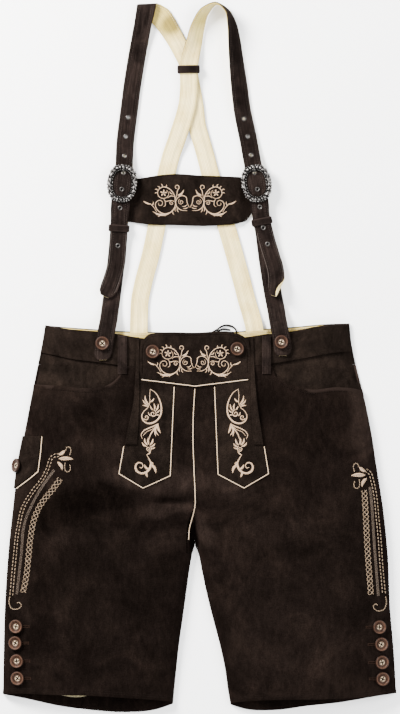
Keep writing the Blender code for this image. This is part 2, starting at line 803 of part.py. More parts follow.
# Middle line of each brace from the shoulder down the back to the opposite hip.
BRACE_BACK = {
    -1: [
        (-71.5, 506.5, 1.75, 180, HALF), (-61, 495, 1.75, 180, HALF),
        (-50, 482, 1.75, 180, HALF), (-38, 465, 1.8, 180, HALF),
        (-26, 444, 2.5, 180, HALF), (-18.8, 429, 3.3, 180, HALF), (-16.2, 418, 3.35, 180, HALF),
        (-14.8, 408, 3.2, 180, HALF), (-11.6, 390, 1.9, 180, HALF), (-7.4, 366, 1.75, 180, HALF),
        (-3, 333, 1.75, 180, HALF), (2, 315, 1.75, 180, HALF), (8, 294, 1.75, 180, HALF),
        (14.5, 269, 1.75, 180, HALF), (38, 192, 1.75, 180, HALF), (51, 147, 1.75, 180, HALF),
        (62, 107, 1.75, 180, HALF), (68.5, 82, 1.75, 180, HALF), (75.5, 58, 2.0, 180, HALF),
        (78.8, 44, 4.05, 180, HALF), (80.2, 35, 4.05, 180, HALF), (81, 24, 4.0, 180, HALF),
    ],
    1: [
        (8, 501.5, 13.4, 116, HALF), (-2.5, 480, 10.8, 138, HALF), (-8, 457, 9.2, 150, HALF),
        (-12.4, 439, 8.2, 167, HALF), (-15.0, 425, 7.0, 179, HALF),
        (-15.8, 412, 7.0, 180, HALF), (-15.8, 400, 6.5, 180, HALF),
        (-15.9, 390, 5.7, 180, HALF),
        (-17.5, 370, 5.25, 180, HALF), (-21.5, 352, 5.25, 180, HALF),
        (-27.5, 333, 5.25, 180, HALF), (-33.5, 315, 4.0, 180, HALF),
        (-41, 294, 1.9, 180, HALF), (-47.5, 269, 1.75, 180, HALF),
        (-62, 192, 1.75, 180, HALF), (-71.5, 147, 1.75, 180, HALF),
        (-82, 107, 1.75, 180, HALF), (-86.8, 82, 1.75, 180, HALF),
        (-88, 58, 2.0, 180, HALF), (-88.3, 44, 4.05, 180, HALF), (-88.3, 35, 4.05, 180, HALF),
        (-88, 24, 4.0, 180, HALF),
    ],
}
# Middle line of each lower brace from the waistband up to the buckle's bar. The first
# rows take their height from the waistband.
# x, y, half width
LOWER_ON_BAND = {
    -1: [
        (-140, -3.6, 6), (-140.2, 0, 10.3), (-140.3, 6, HALF), (-138, 21, HALF),
        (-135, 38, HALF),
    ],
    1: [
        (120, 2.4, 6), (120, 6, 10.3), (119.8, 12, HALF), (118.8, 24, HALF),
        (116, 38, HALF),
    ],
}
# x, y, z
LOWER_FREE = {
    -1: [
        (-132, 54, 9.6), (-129.8, 70, 4.0), (-127.6, 86, 1.8), (-122.5, 127, 1.65),
        (-119, 161, 1.7), (-117.6, 178, 3.05), (-117, 187, 3.1), (-116.7, 192.5, 3.15),
        (-116.4, 198, 4.5), (-115.3, 218, 4.8), (-113.6, 236, 6.1), (-112.8, 246, 6.85),
        (-112.2, 252, 6.95),
    ],
    1: [
        (113, 54, 9.6), (110.5, 70, 4.0), (107, 88, 1.7), (100.5, 127, 1.65),
        (95.5, 163, 1.7), (92.6, 185, 3.05), (90, 197, 3.1), (88.8, 204.5, 3.2),
        (88, 210, 4.6), (87, 218, 4.8), (84.5, 236, 6.1), (83, 246, 6.85),
        (82, 252, 6.95),
    ],
}
BAR_HEIGHT = 0.0058         # middle of the buckles' bars
RING_HEIGHT = 0.0134        # middle of the buckles' rings
# bar x, bar y, turn of the buckle in degrees
BUCKLES = {-1: (-112.2, 252, -5.5), 1: (82, 252, 9.5)}
FOLD_RADIUS = 0.0033        # of the fold of the left brace at its shoulder
LOOP_TAIL = 0.010           # how far the lower brace runs back under the bar
LINING_STOP = 0.236         # the lower lining ends here, before the loop on the bar
# y of the eyelet holes; the prong comes up through the one at 267.5
EYELET_YS = {
    -1: (348, 320, 292, 267.5, 244, 217, 162),
    1: (346, 320, 293, 267.5, 244, 218, 165),
}


def brace_line(side):
    """Stations of a whole brace. The left one folds over at the shoulder, the right rolls."""
    front = stations(BRACE_FRONT[side])
    back = stations(BRACE_BACK[side])
    if side < 0:
        start, travel = front[-1][0].copy(), (front[-1][0] - front[-4][0])
        leaving = back[4][0] - back[0][0]
        travel.z = leaving.z = 0
        axis = (travel.normalized() + leaving.normalized()).normalized()
        fold = fold_over(start, travel.normalized(), axis, FOLD_RADIUS)
        return thin_out(front[:-6]) + fold + thin_out(back[8:])
    return thin_out(stations(BRACE_FRONT[side] + BRACE_BACK[side]))


def lower_line(side):
    """Stations of a lower brace, from the waistband to its buckle's bar."""
    rows = []
    for x, y, half in LOWER_ON_BAND[side]:
        z = on_front(x * MM, y * MM, LAY + STRAP_STACK / 2).z / MM
        rows.append((x, y, z, 0, half))
    rows += [(x, y, z, 0, HALF) for x, y, z in LOWER_FREE[side]]
    return stations(rows)


def round_the_bar(line, side):
    """The dark leather goes on over the bar and back beneath it."""
    width = line[-1][1]
    forward = Vector((-width.y, width.x, 0))
    x, y, _ = BUCKLES[side]
    bar = Vector((x * MM, y * MM, BAR_HEIGHT))
    radius = line[-1][0].z - BAR_HEIGHT
    half = STRAP_WIDTH / 2
    made = []
    for i in range(1, 6):
        turn = math.pi * i / 5
        place = bar + forward * radius * math.sin(turn) + Vector((0, 0, radius * math.cos(turn)))
        made.append((place, width, half))
    made.append((made[-1][0] - forward * LOOP_TAIL, width, half))
    return made


def build_braces(suede, lining):
    """Both braces and both lower braces, each a dark face and a cream lining."""
    half_gap = GAP / 2
    for side, word in ((-1, "left"), (1, "right")):
        line = brace_line(side)
        face = band("strap_" + word, line, half_gap + STRAP_FACE, STRAP_FACE, suede)
        inside = band("strap_lining_" + word, line, -half_gap, STRAP_LINING, lining)
        front = stations(BRACE_FRONT[side])
        places = []
        for y in EYELET_YS[side]:
            nearest = min(front, key=lambda s: abs(s[0].y - y * MM))
            places.append(nearest[0])
        pegs = round_cutters("eyelet_pegs_" + word, places, EYELET_HOLE, 0.012)
        cut(face, pegs)
        cut(inside, pegs)
        lower = lower_line(side)
        dark = thin_out(lower) + round_the_bar(lower, side)
        face = band("strap_lower_" + word, dark, half_gap + STRAP_FACE, STRAP_FACE, suede)
        cut(face, prong_slot(side, word))
        short = thin_out([s for s in lower if s[0].y < LINING_STOP])
        band("strap_lower_lining_" + word, short, -half_gap, STRAP_LINING, lining)


def buckle_place(side, z=0.0):
    """Where a buckle stands: over the middle of its bar, turned with the brace."""
    x, y, turn = BUCKLES[side]
    return Matrix.Translation((x * MM, y * MM, z)) @ Matrix.Rotation(math.radians(turn), 4, "Z")


def prong_slot(side, word):
    """The slot in the loop of the lower brace that the prong swings in."""
    bpy.ops.mesh.primitive_cube_add(size=1)
    slot = bpy.context.object
    slot.name = "prong_slot_" + word
    slot.data.transform(Matrix.Diagonal((*PRONG_SLOT, 1)))
    slot.matrix_world = buckle_place(side, BAR_HEIGHT + 0.001)
    slot.users_collection[0].objects.unlink(slot)
    return hide_cutter(slot)


def build_buckles(silver):
    """Oval frames, each with a bar under it and a prong through the brace."""
    for side, word in ((-1, "left"), (1, "right")):
        middle = [(o + i) / 2 for o, i in zip(BUCKLE_OUTER, BUCKLE_INNER)]
        wall = (BUCKLE_OUTER[0] - BUCKLE_INNER[0]) / 2 / middle[0]
        bpy.ops.mesh.primitive_torus_add(
            major_radius=1, minor_radius=wall, major_segments=28, minor_segments=8,
        )
        ring = bpy.context.object
        ring.name = "buckle_" + word
        ring.data.transform(Matrix.Diagonal((*middle, BUCKLE_DEPTH / 2 / wall, 1)))
        ring.matrix_world = buckle_place(side, RING_HEIGHT)
        ring.users_collection[0].objects.unlink(ring)
        PART.objects.link(ring)
        ring.data.materials.append(silver)
        reach = middle[0] - 0.0004
        drop = BAR_HEIGHT
        local = [
            (-reach, 0, RING_HEIGHT), (-reach, 0, drop + 0.002), (-reach + 0.002, 0, drop),
            (reach - 0.002, 0, drop), (reach, 0, drop + 0.002), (reach, 0, RING_HEIGHT),
        ]
        place = buckle_place(side)
        points = [place @ Vector(p) for p in local]
        bar = as_mesh(tube("buckle_bar_" + word, points, BAR_RADIUS, silver))
        unite(ring, bar)
        prong = [
            (0, -0.0023, BAR_HEIGHT - 0.0002), (0, -0.0017, BAR_HEIGHT + 0.0016),
            (0, -0.0002, BAR_HEIGHT + 0.0024), (0, 0.0040, BAR_HEIGHT + 0.0024),
            (0, 0.0085, BAR_HEIGHT + 0.0012), (0, 0.0122, BAR_HEIGHT + 0.0001),
            (0, 0.0146, BAR_HEIGHT + 0.0005), (0, 0.0156, BAR_HEIGHT + 0.0028),
            (0, 0.0160, RING_HEIGHT - 0.0010), (0, 0.0176, RING_HEIGHT + 0.0020),
            (0, 0.0205, RING_HEIGHT + 0.0030), (0, 0.0250, RING_HEIGHT + 0.0030),
        ]
        tube("prong_" + word, [place @ Vector(p) for p in prong], PRONG_RADIUS, silver)


# centre x, y, turn in degrees, inside width, inside height, length
KEEPERS = {
    "left": (-117.0, 187.2, -3.5, 27.6, 8.1, 10),
    "right": (90.0, 197.0, 11, 27.6, 8.1, 10),
    "crossing": (-16.2, 417.5, 1, 30.0, 8.2, 11.6),
}


def build_keepers(suede):
    """Closed leather bands round two straps."""
    wall = KEEPER_WALL
    for word, (x, y, turn, width, height, length) in KEEPERS.items():
        half, tall = width * MM / 2, height * MM
        corner = 0.0012
        inside = [
            (half - corner, wall), (half, wall + corner), (half, wall + tall - corner),
            (half - corner, wall + tall),
        ]
        inside += [(-u, v) for u, v in reversed(inside)]
        centre = Vector((0, wall + tall / 2))
        ring = []
        for u, v in inside:
            outward = Vector((wall if u > 0 else -wall, wall if v > centre.y else -wall))
            ring.append((u, v, u + outward.x, v + outward.y))
        spin = Matrix.Rotation(math.radians(turn), 4, "Z")
        place = Matrix.Translation((x * MM, y * MM, 0)) @ spin
        add_object("keeper_" + word, loop_band(ring, length * MM, place), suede, PART)


def loop_band(ring, length, place):
    """A closed loop of the given inner and outer outline, drawn out along its axis."""
    mesh = bpy.data.meshes.new("loop")
    points, faces = [], []
    for end in (-length / 2, length / 2):
        for u, v, _, _ in ring:
            points.append(place @ Vector((u, end, v)))
        for _, _, u, v in ring:
            points.append(place @ Vector((u, end, v)))
    count = len(ring)
    for i in range(count):
        k = (i + 1) % count
        front, back = (i, k), (i + 2 * count, k + 2 * count)
        outer, outer_back = (i + count, k + count), (i + 3 * count, k + 3 * count)
        faces.append((front[0], front[1], back[1], back[0]))
        faces.append((outer[1], outer[0], outer_back[0], outer_back[1]))
        faces.append((front[1], front[0], outer[0], outer[1]))
        faces.append((back[0], back[1], outer_back[1], outer_back[0]))
    mesh.from_pydata(points, [], faces)
    work = bmesh.new()
    work.from_mesh(mesh)
    bmesh.ops.recalc_face_normals(work, faces=work.faces)
    work.to_mesh(mesh)
    work.free()
    return mesh


# Chest strap between the braces.
# x, y
CHEST_TOP = [(-127, 256), (-91, 259), (-60, 264), (-31, 266), (-1, 264), (50, 262), (84, 260)]
CHEST_BOTTOM = [
    (-127, 199), (-104, 197), (-72, 193), (-31, 192), (-1, 191), (30, 192), (60, 196),
    (69, 200), (75, 209), (84, 211),
]


def build_chest_strap(finish):
    """The chest strap, which lies over both braces."""
    top, bottom = through(CHEST_TOP), through(CHEST_BOTTOM)
    columns = [x * MM for x in (
        -127, -112, -96, -92, -88, -84, -80, -60, -35, -17, 0, 20, 38, 56, 59, 62, 65, 68,
        72, 77, 84,
    )]

    def height(x, y):
        """The strap's face: flat at its ends and raised between them."""
        left = smooth_step((x + 0.096) / 0.016)
        right = smooth_step((0.068 - x) / 0.012)
        return CHEST_LEATHER + OVER_BRACES * min(left, right)
    grid = flat_rows(columns, [bottom(x) for x in columns], [top(x) for x in columns], 3, height)
    sheet("chest_strap", grid, CHEST_LEATHER, finish)


# ---------------------------------------------------------------- buttons and lace

# name, x, y, lift of its underside above the front
BUTTONS = [
    ("flap_left", -68, 8, BAND_LIFT), ("flap_right", 54, 12, BAND_LIFT),
    ("strap_left", -141, 20, LAY + STRAP_STACK), ("strap_right", 118, 22, LAY + STRAP_STACK),
    ("leg_left_1", -265, -389, 0), ("leg_left_2", -266, -413, 0),
    ("leg_left_3", -264, -439, 0), ("leg_left_4", -263, -464, 0),
    ("leg_right_1", 259, -390, 0), ("leg_right_2", 262, -415, 0),
    ("leg_right_3", 263, -441, 0), ("leg_right_4", 264, -465, 0),
    ("knife_pocket", -262, -157, BAND_LIFT),
]
# Profile of a button from the axis to its rim and back, as shares of radius and height.
BUTTON_PROFILE = [
    (0, 0.55), (0.5, 0.55), (0.74, 1), (1, 0.7), (0.88, 0), (0, 0),
]


def build_buttons(horn):
    """Turned horn buttons that lie on what carries them."""
    for name, x, y, lift in BUTTONS:
        mesh = bpy.data.meshes.new("button_" + name)
        profile = [(r * BUTTON_RADIUS, 0, z * BUTTON_HEIGHT) for r, z in BUTTON_PROFILE]
        mesh.from_pydata(profile, [(i, i + 1) for i in range(len(profile) - 1)], [])
        made = add_object("button_" + name, mesh, horn, PART)
        spin = made.modifiers.new("turn", "SCREW")
        spin.steps = spin.render_steps = 12
        spin.use_merge_vertices = True
        spin.merge_threshold = 0.00001
        side = -1 if x < 0 else 1
        turn = to_turn(across(side, x * MM, y * MM))
        p, normal = front_frame(side, turn, y * MM)
        made.matrix_world = (
            Matrix.Translation(p + normal * (lift + LAY + GAP))
            @ normal.to_track_quat("Z", "Y").to_matrix().to_4x4()
        )


# Free ends of the lace at the back waist.
# x, y, z
LACE_LOOP = [
    (0, 24, 5.4), (5, 31, 5.6), (9, 35, 5.6), (15, 39.5, 4.6), (21, 42.5, 2.6), (28, 46, 1.6),
    (37, 48, 1.5), (46, 47, 1.6), (52, 43.5, 2.6), (55, 39, 4.4), (56, 34, 5.5), (55, 28, 5.4),
]
LACE_END = [
    (22, 24, 5.4), (24, 31, 5.6), (27, 35.5, 5.6), (31, 39.6, 4.6), (36, 41.4, 3.2),
    (43, 40.8, 3.0),
]


def build_lace(finish):
    """The loop and the free end of the lace."""
    for name, rows, count in (("lace_loop", LACE_LOOP, 22), ("lace_end", LACE_END, 9)):
        points = [Vector(row) * MM for row in smooth_rows(rows, count)]
        tube(name, points, LACE_RADIUS, finish, sides=2)


# ---------------------------------------------------------------- assembly

for old in list(bpy.data.objects):
    bpy.data.objects.remove(old)
PART = new_collection("lederhosen")
CUTTERS = new_collection("cutters")

dark_suede = material("dark_suede", (0.020, 0.012, 0.009), 0.95)
flap_suede = material("flap_suede", (0.028, 0.017, 0.012), 0.92)
cream_lining = material("cream_lining", (0.80, 0.73, 0.60), 0.85)
cream_piping = material("cream_piping", (0.72, 0.63, 0.53), 0.7)
antique_silver = material("antique_silver", (0.45, 0.43, 0.41), 0.35, 1.0)
horn_brown = material("horn_brown", (0.20, 0.10, 0.06), 0.4)
lace_leather = material("lace_leather", (0.010, 0.007, 0.006), 0.7)

build_body(dark_suede, dark_suede, cream_lining)
build_flap(flap_suede)
build_tabs(flap_suede)
build_piping(cream_piping, build_knife_pocket(flap_suede))
build_chest_strap(flap_suede)
build_braces(flap_suede, cream_lining)
build_buckles(antique_silver)
build_keepers(flap_suede)
build_buttons(horn_brown)
build_lace(lace_leather)
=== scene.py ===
"""Lederhosen laid flat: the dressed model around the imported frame.

Units are metres, +Z up, +Y from the hems to the shoulders. Tables are in millimetres,
with their columns named above them.
"""
import math

import bmesh
import bpy
import numpy as np
from mathutils import Matrix, Vector


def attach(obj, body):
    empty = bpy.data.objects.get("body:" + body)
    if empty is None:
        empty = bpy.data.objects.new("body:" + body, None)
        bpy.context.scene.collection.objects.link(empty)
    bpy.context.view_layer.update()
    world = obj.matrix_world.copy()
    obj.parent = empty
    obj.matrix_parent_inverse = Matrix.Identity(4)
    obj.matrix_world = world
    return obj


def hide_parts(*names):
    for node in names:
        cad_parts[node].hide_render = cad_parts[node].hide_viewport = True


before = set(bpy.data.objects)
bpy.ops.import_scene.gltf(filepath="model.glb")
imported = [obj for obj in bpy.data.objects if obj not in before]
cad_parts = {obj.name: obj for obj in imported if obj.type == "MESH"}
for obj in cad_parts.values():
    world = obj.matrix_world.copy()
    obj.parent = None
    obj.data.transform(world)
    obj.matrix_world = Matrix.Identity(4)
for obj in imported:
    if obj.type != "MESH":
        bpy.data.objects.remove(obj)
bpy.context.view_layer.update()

SIDES = ((-1, "left"), (1, "right"))
MM = 0.001
LEATHER = 0.0020                # wall of the suede panels
GAP = 0.0003                    # between two pieces that lie on each other
LAY = 0.0006                    # how far sewn-on leather stands off
SEAT = LEATHER + 0.0011         # where the front's rolled edges reach down to
STRAP_WIDTH = 0.0254
STRAP_FACE = 0.0015
STRAP_LINING = 0.0012
STRAP_STACK = STRAP_FACE + GAP + STRAP_LINING
FACING = 0.0015
APPLIED = 0.0015                # flap, tabs, plackets, belt loops and knife pocket
CHEST_LEATHER = 0.0026
PIPING_RADIUS = 0.0009
LACE_RADIUS = 0.0013
BUTTON_RADIUS = 0.0103
BUTTON_HEIGHT = 0.0042
KEEPER_WALL = 0.0013
EYELET_HOLE = 0.0021
BAR_RADIUS = 0.0010
PRONG_RADIUS = 0.0010
CROTCH_Y = -0.273
VALLEY_REACH = 0.075            # how far above the crotch the legs start to part
BAND_LIFT = LAY + APPLIED       # outer face of one applied layer, above the front
OVER_LIFT = BAND_LIFT + LAY + APPLIED
BACK_SEAM_Y = -0.010

# ---------------------------------------------------------------- outlines

# y, left x, right x
SIDE_SEAMS = [
    (52, -223, 216.5), (17, -229, 220.5), (-18, -236, 228), (-53, -243, 237),
    (-105, -253, 248), (-163, -264, 257), (-221, -271, 266), (-279, -277, 272),
    (-366, -282.5, 276), (-424, -284, 281), (-495, -285, 285),
]
INNER_EDGES = [
    (52, -7, -7), (-43, -7, -7), (-112, -9.5, -9.5), (-162, -8, -8), (-221, -7, -7),
    (-271, -7, -7), (-279, -9.5, -3.5), (-308, -15, 3), (-337, -19, 9), (-366, -23, 16),
    (-424, -31, 31), (-453, -34, 37), (-482, -37, 41), (-515, -40, 47),
]
# y, z of the front's outer face
LOFT = [
    (52, 14.5), (20, 16), (-12, 18.5), (-76, 26), (-163, 31), (-221, 32), (-337, 30),
    (-424, 27), (-515, 22),
]
# x, y of each edge
FRONT_WAIST = [
    (-240, 49), (-224, 47), (-188, 41), (-153, 38), (-119, 34), (-84, 28), (-7, 25),
    (64, 29), (90, 33), (134, 38), (169, 45), (203, 49), (235, 49.5),
]
BACK_WAIST = [
    (-240, 48), (-188, 43.5), (-153, 41), (-110, 38), (-72, 37), (58, 38), (90, 41),
    (134, 44), (177, 48), (235, 50),
]
WAIST_SEAM = [
    (-245, 10), (-213, 4), (-185, -2), (-145, -7), (-108, -12), (-7, -15), (80, -12),
    (109, -8), (145, -2), (196, 7), (240, 10),
]
POCKET_LEFT = [
    (-250, -38), (-203, -41), (-159, -44), (-137, -41), (-123, -33), (-113, -21),
    (-108, -12.2), (-104, -12.2),
]
POCKET_RIGHT = [
    (99, -9.4), (103, -9.4), (106, -20), (116, -31), (138, -41), (160, -46), (196, -43),
    (218, -44), (245, -50),
]
BACK_HEM = {
    -1: [
        (-290, -487), (-249, -495), (-203, -505), (-156, -511), (-110, -514), (-63, -510),
        (-36, -501),
    ],
    1: [
        (42, -502), (64, -509), (111, -511), (157, -505), (203, -500), (250, -492),
        (290, -485),
    ],
}
FRONT_HEM = {
    -1: [
        (-290, -487.5), (-253, -486.5), (-208, -488), (-159, -489), (-113, -492),
        (-72, -495), (-36, -499),
    ],
    1: [
        (42, -501), (58, -498.5), (90, -496), (135, -495), (196, -494), (240, -491),
        (290, -485.5),
    ],
}
# start x, start y, end x, end y, half width, height
FOLDS = [
    (-215, -20, -90, -185, 26, 2.6), (-150, -95, -205, -225, 22, -1.8),
    (-70, -235, -16, -222, 13, 2.2), (-95, -268, -22, -248, 15, -1.6),
    (55, -232, 6, -222, 13, 2.0), (48, -315, 70, -415, 20, 1.6),
    (-255, -350, -120, -330, 26, -1.6), (120, -300, 235, -345, 30, 1.6),
    (190, -70, 130, -190, 28, 1.8), (-150, -440, -60, -400, 24, 1.5),
    (170, -450, 90, -405, 24, -1.4),
    (-203, -83, -114, -212, 18, 3.0), (-165, -170, -100, -238, 17, -2.6),
    (-50, -206, -14, -210, 6, -1.8), (-14, -224, 16, -278, 9, 1.6),
    (-10, -226, -15, -276, 5, -2.6), (205, -20, 240, -120, 16, 1.8),
    (60, -40, 66, -150, 12, 1.2),
]
# Finer creases of the worn leather, in the same columns.
CREASES = [
    (-60, -232, -18, -238, 5, 0.9), (-70, -250, -20, -246, 5, -0.8),
    (-58, -272, -22, -262, 5, 0.8), (44, -226, 4, -236, 5, 0.9),
    (50, -244, 6, -250, 5, -0.8), (42, -262, 4, -262, 5, 0.7),
    (-120, -120, -50, -150, 9, 0.7), (-200, -110, -150, -150, 9, 0.8),
    (-235, -60, -180, -84, 8, 0.8), (-215, -78, -160, -92, 7, -0.7),
    (120, -70, 190, -62, 8, 0.7), (150, -95, 225, -110, 9, -0.8),
    (125, -140, 180, -190, 9, 0.7), (-250, -250, -190, -285, 10, 0.7),
    (-210, -300, -140, -310, 9, -0.6), (200, -240, 255, -275, 10, 0.7),
    (-180, -400, -100, -385, 9, 0.6), (120, -380, 200, -395, 10, 0.7),
    (-245, -455, -200, -430, 8, -0.6), (215, -420, 250, -450, 8, 0.6),
    (-110, -470, -70, -452, 7, 0.6), (95, -470, 140, -455, 8, -0.6),
    (-150, 25, -118, 0, 6, 0.6), (110, 28, 140, 5, 6, 0.6), (160, 38, 178, 8, 6, -0.6),
]


def hermite(places, xs, ys):
    """The smooth curve through the points xs, ys, at these places."""
    slopes = np.gradient(ys, xs)
    i = np.clip(np.searchsorted(xs, places) - 1, 0, len(xs) - 2)
    h = xs[i + 1] - xs[i]
    t = (places - xs[i]) / h
    return (
        (2 * t**3 - 3 * t**2 + 1) * ys[i] + (t**3 - 2 * t**2 + t) * h * slopes[i]
        + (3 * t**2 - 2 * t**3) * ys[i + 1] + (t**3 - t**2) * h * slopes[i + 1]
    )


def through(rows, column=1):
    """A smooth function through rows of a table, in metres, for numbers or arrays."""
    table = np.array(sorted(rows), dtype=float)
    xs, ys = table[:, 0] * MM, table[:, column] * MM
    return lambda x: hermite(np.clip(x, xs[0], xs[-1]), xs, ys)


side_left, side_right = through(SIDE_SEAMS, 1), through(SIDE_SEAMS, 2)
inner_left, inner_right = through(INNER_EDGES, 1), through(INNER_EDGES, 2)
loft = through(LOFT)
front_waist, back_waist = through(FRONT_WAIST), through(BACK_WAIST)
waist_seam = through(WAIST_SEAM)
pocket = {-1: through(POCKET_LEFT), 1: through(POCKET_RIGHT)}
back_hem = {side: through(rows) for side, rows in BACK_HEM.items()}
front_hem = {side: through(rows) for side, rows in FRONT_HEM.items()}


def outer_x(side, y):
    return np.where(side < 0, side_left(y), side_right(y))


def inner_x(side, y):
    left, right = inner_left(y), inner_right(y)
    middle = (left + right) / 2
    return np.where(
        side < 0, np.minimum(left, middle - GAP / 2), np.maximum(right, middle + GAP / 2)
    )


def smooth_step(x):
    x = np.clip(x, 0.0, 1.0)
    return x * x * (3 - 2 * x)


# A turn runs from 0 at the inner edge to 1 at the side seam, closer at both rolled edges.
def to_turn(a):
    return np.arccos(np.clip(1 - 2 * a, -1, 1)) / math.pi


def from_turn(t):
    return (1 - np.cos(math.pi * t)) / 2


NOISE_CELLS = 128
LATTICE = np.random.default_rng(7).uniform(-1, 1, (NOISE_CELLS, NOISE_CELLS))


def soft_noise(x, y, size, shift=0):
    """Smooth noise from -1 to 1 over the plane, one cell each size."""
    u, v = np.asarray(x) / size + 40.3 + shift, np.asarray(y) / size + 51.7 + 2 * shift
    i, j = np.floor(u).astype(int), np.floor(v).astype(int)
    f, g = u - i, v - j
    f, g = f**3 * (10 - 15 * f + 6 * f * f), g**3 * (10 - 15 * g + 6 * g * g)
    (i0, i1), (j0, j1) = [(k % NOISE_CELLS, (k + 1) % NOISE_CELLS) for k in (i, j)]
    a, b, c, d = LATTICE[i0, j0], LATTICE[i1, j0], LATTICE[i0, j1], LATTICE[i1, j1]
    return (a * (1 - f) + b * f) * (1 - g) + (c * (1 - f) + d * f) * g


def fold_height(x, y):
    """Sum of the folds and creases at places on the front."""
    total = np.zeros(np.broadcast(x, y).shape)
    for x0, y0, x1, y1, width, height in FOLDS + CREASES:
        run_x, run_y = (x1 - x0) * MM, (y1 - y0) * MM
        length = math.hypot(run_x, run_y)
        off_x, off_y = x - x0 * MM, y - y0 * MM
        s = (off_x * run_x + off_y * run_y) / length**2
        d = (off_x * run_y - off_y * run_x) / length
        ends = smooth_step((s + 0.25) / 0.5) * smooth_step((1.25 - s) / 0.5)
        total = total + height * MM * np.exp(-((d / (width * MM)) ** 2)) * ends
    ripple = 0.45 * soft_noise(x, y, 0.034) + 0.22 * soft_noise(x, y, 0.013, 9)
    return total + ripple * MM


def front_point(side, t, y, inset=0.0):
    """Points on the outer face of the front, t from the inner edge to the side seam."""
    a = from_turn(t)
    x = inner_x(side, y) + (outer_x(side, y) - side * inset - inner_x(side, y)) * a
    valley = smooth_step((CROTCH_Y + VALLEY_REACH - y) / VALLEY_REACH)
    round_out = np.sqrt(np.maximum(1 - a**5, 0.0))
    round_in = np.maximum(1 - (1 - a) ** 5, 0.0) ** (1 - 0.5 * valley)
    profile = round_out * (1 - valley + valley * round_in)
    z = SEAT + (loft(y) - inset - SEAT + fold_height(x, y)) * profile
    return np.stack(np.broadcast_arrays(x, y, z), axis=-1)


def unit(v):
    return v / np.maximum(np.linalg.norm(v, axis=-1, keepdims=True), 1e-12)


def front_normal(side, t, y, turn_step=0.01, y_step=0.002):
    """Outward directions of the front, from points a step apart."""
    t0 = np.where(t < 0.5, t, t - turn_step)
    du = front_point(side, t0 + turn_step, y) - front_point(side, t0, y)
    dv = front_point(side, t, y + y_step) - front_point(side, t, y - y_step)
    return unit(np.cross(du, dv) * np.asarray(side)[..., None])


def front_turn(side, x, y):
    share = (x - inner_x(side, y)) / (outer_x(side, y) - inner_x(side, y))
    return to_turn(share)


def on_front(x, y, lift=0.0):
    """Points over the front at x, y, moved out along the normal, and the normals there."""
    x, y = np.broadcast_arrays(np.asarray(x, float), np.asarray(y, float))
    side = np.where(x < (inner_left(y) + inner_right(y)) / 2, -1, 1)
    t = front_turn(side, x, y)
    normal = front_normal(side, t, y)
    return front_point(side, t, y) + normal * np.asarray(lift)[..., None], normal


# ---------------------------------------------------------------- materials

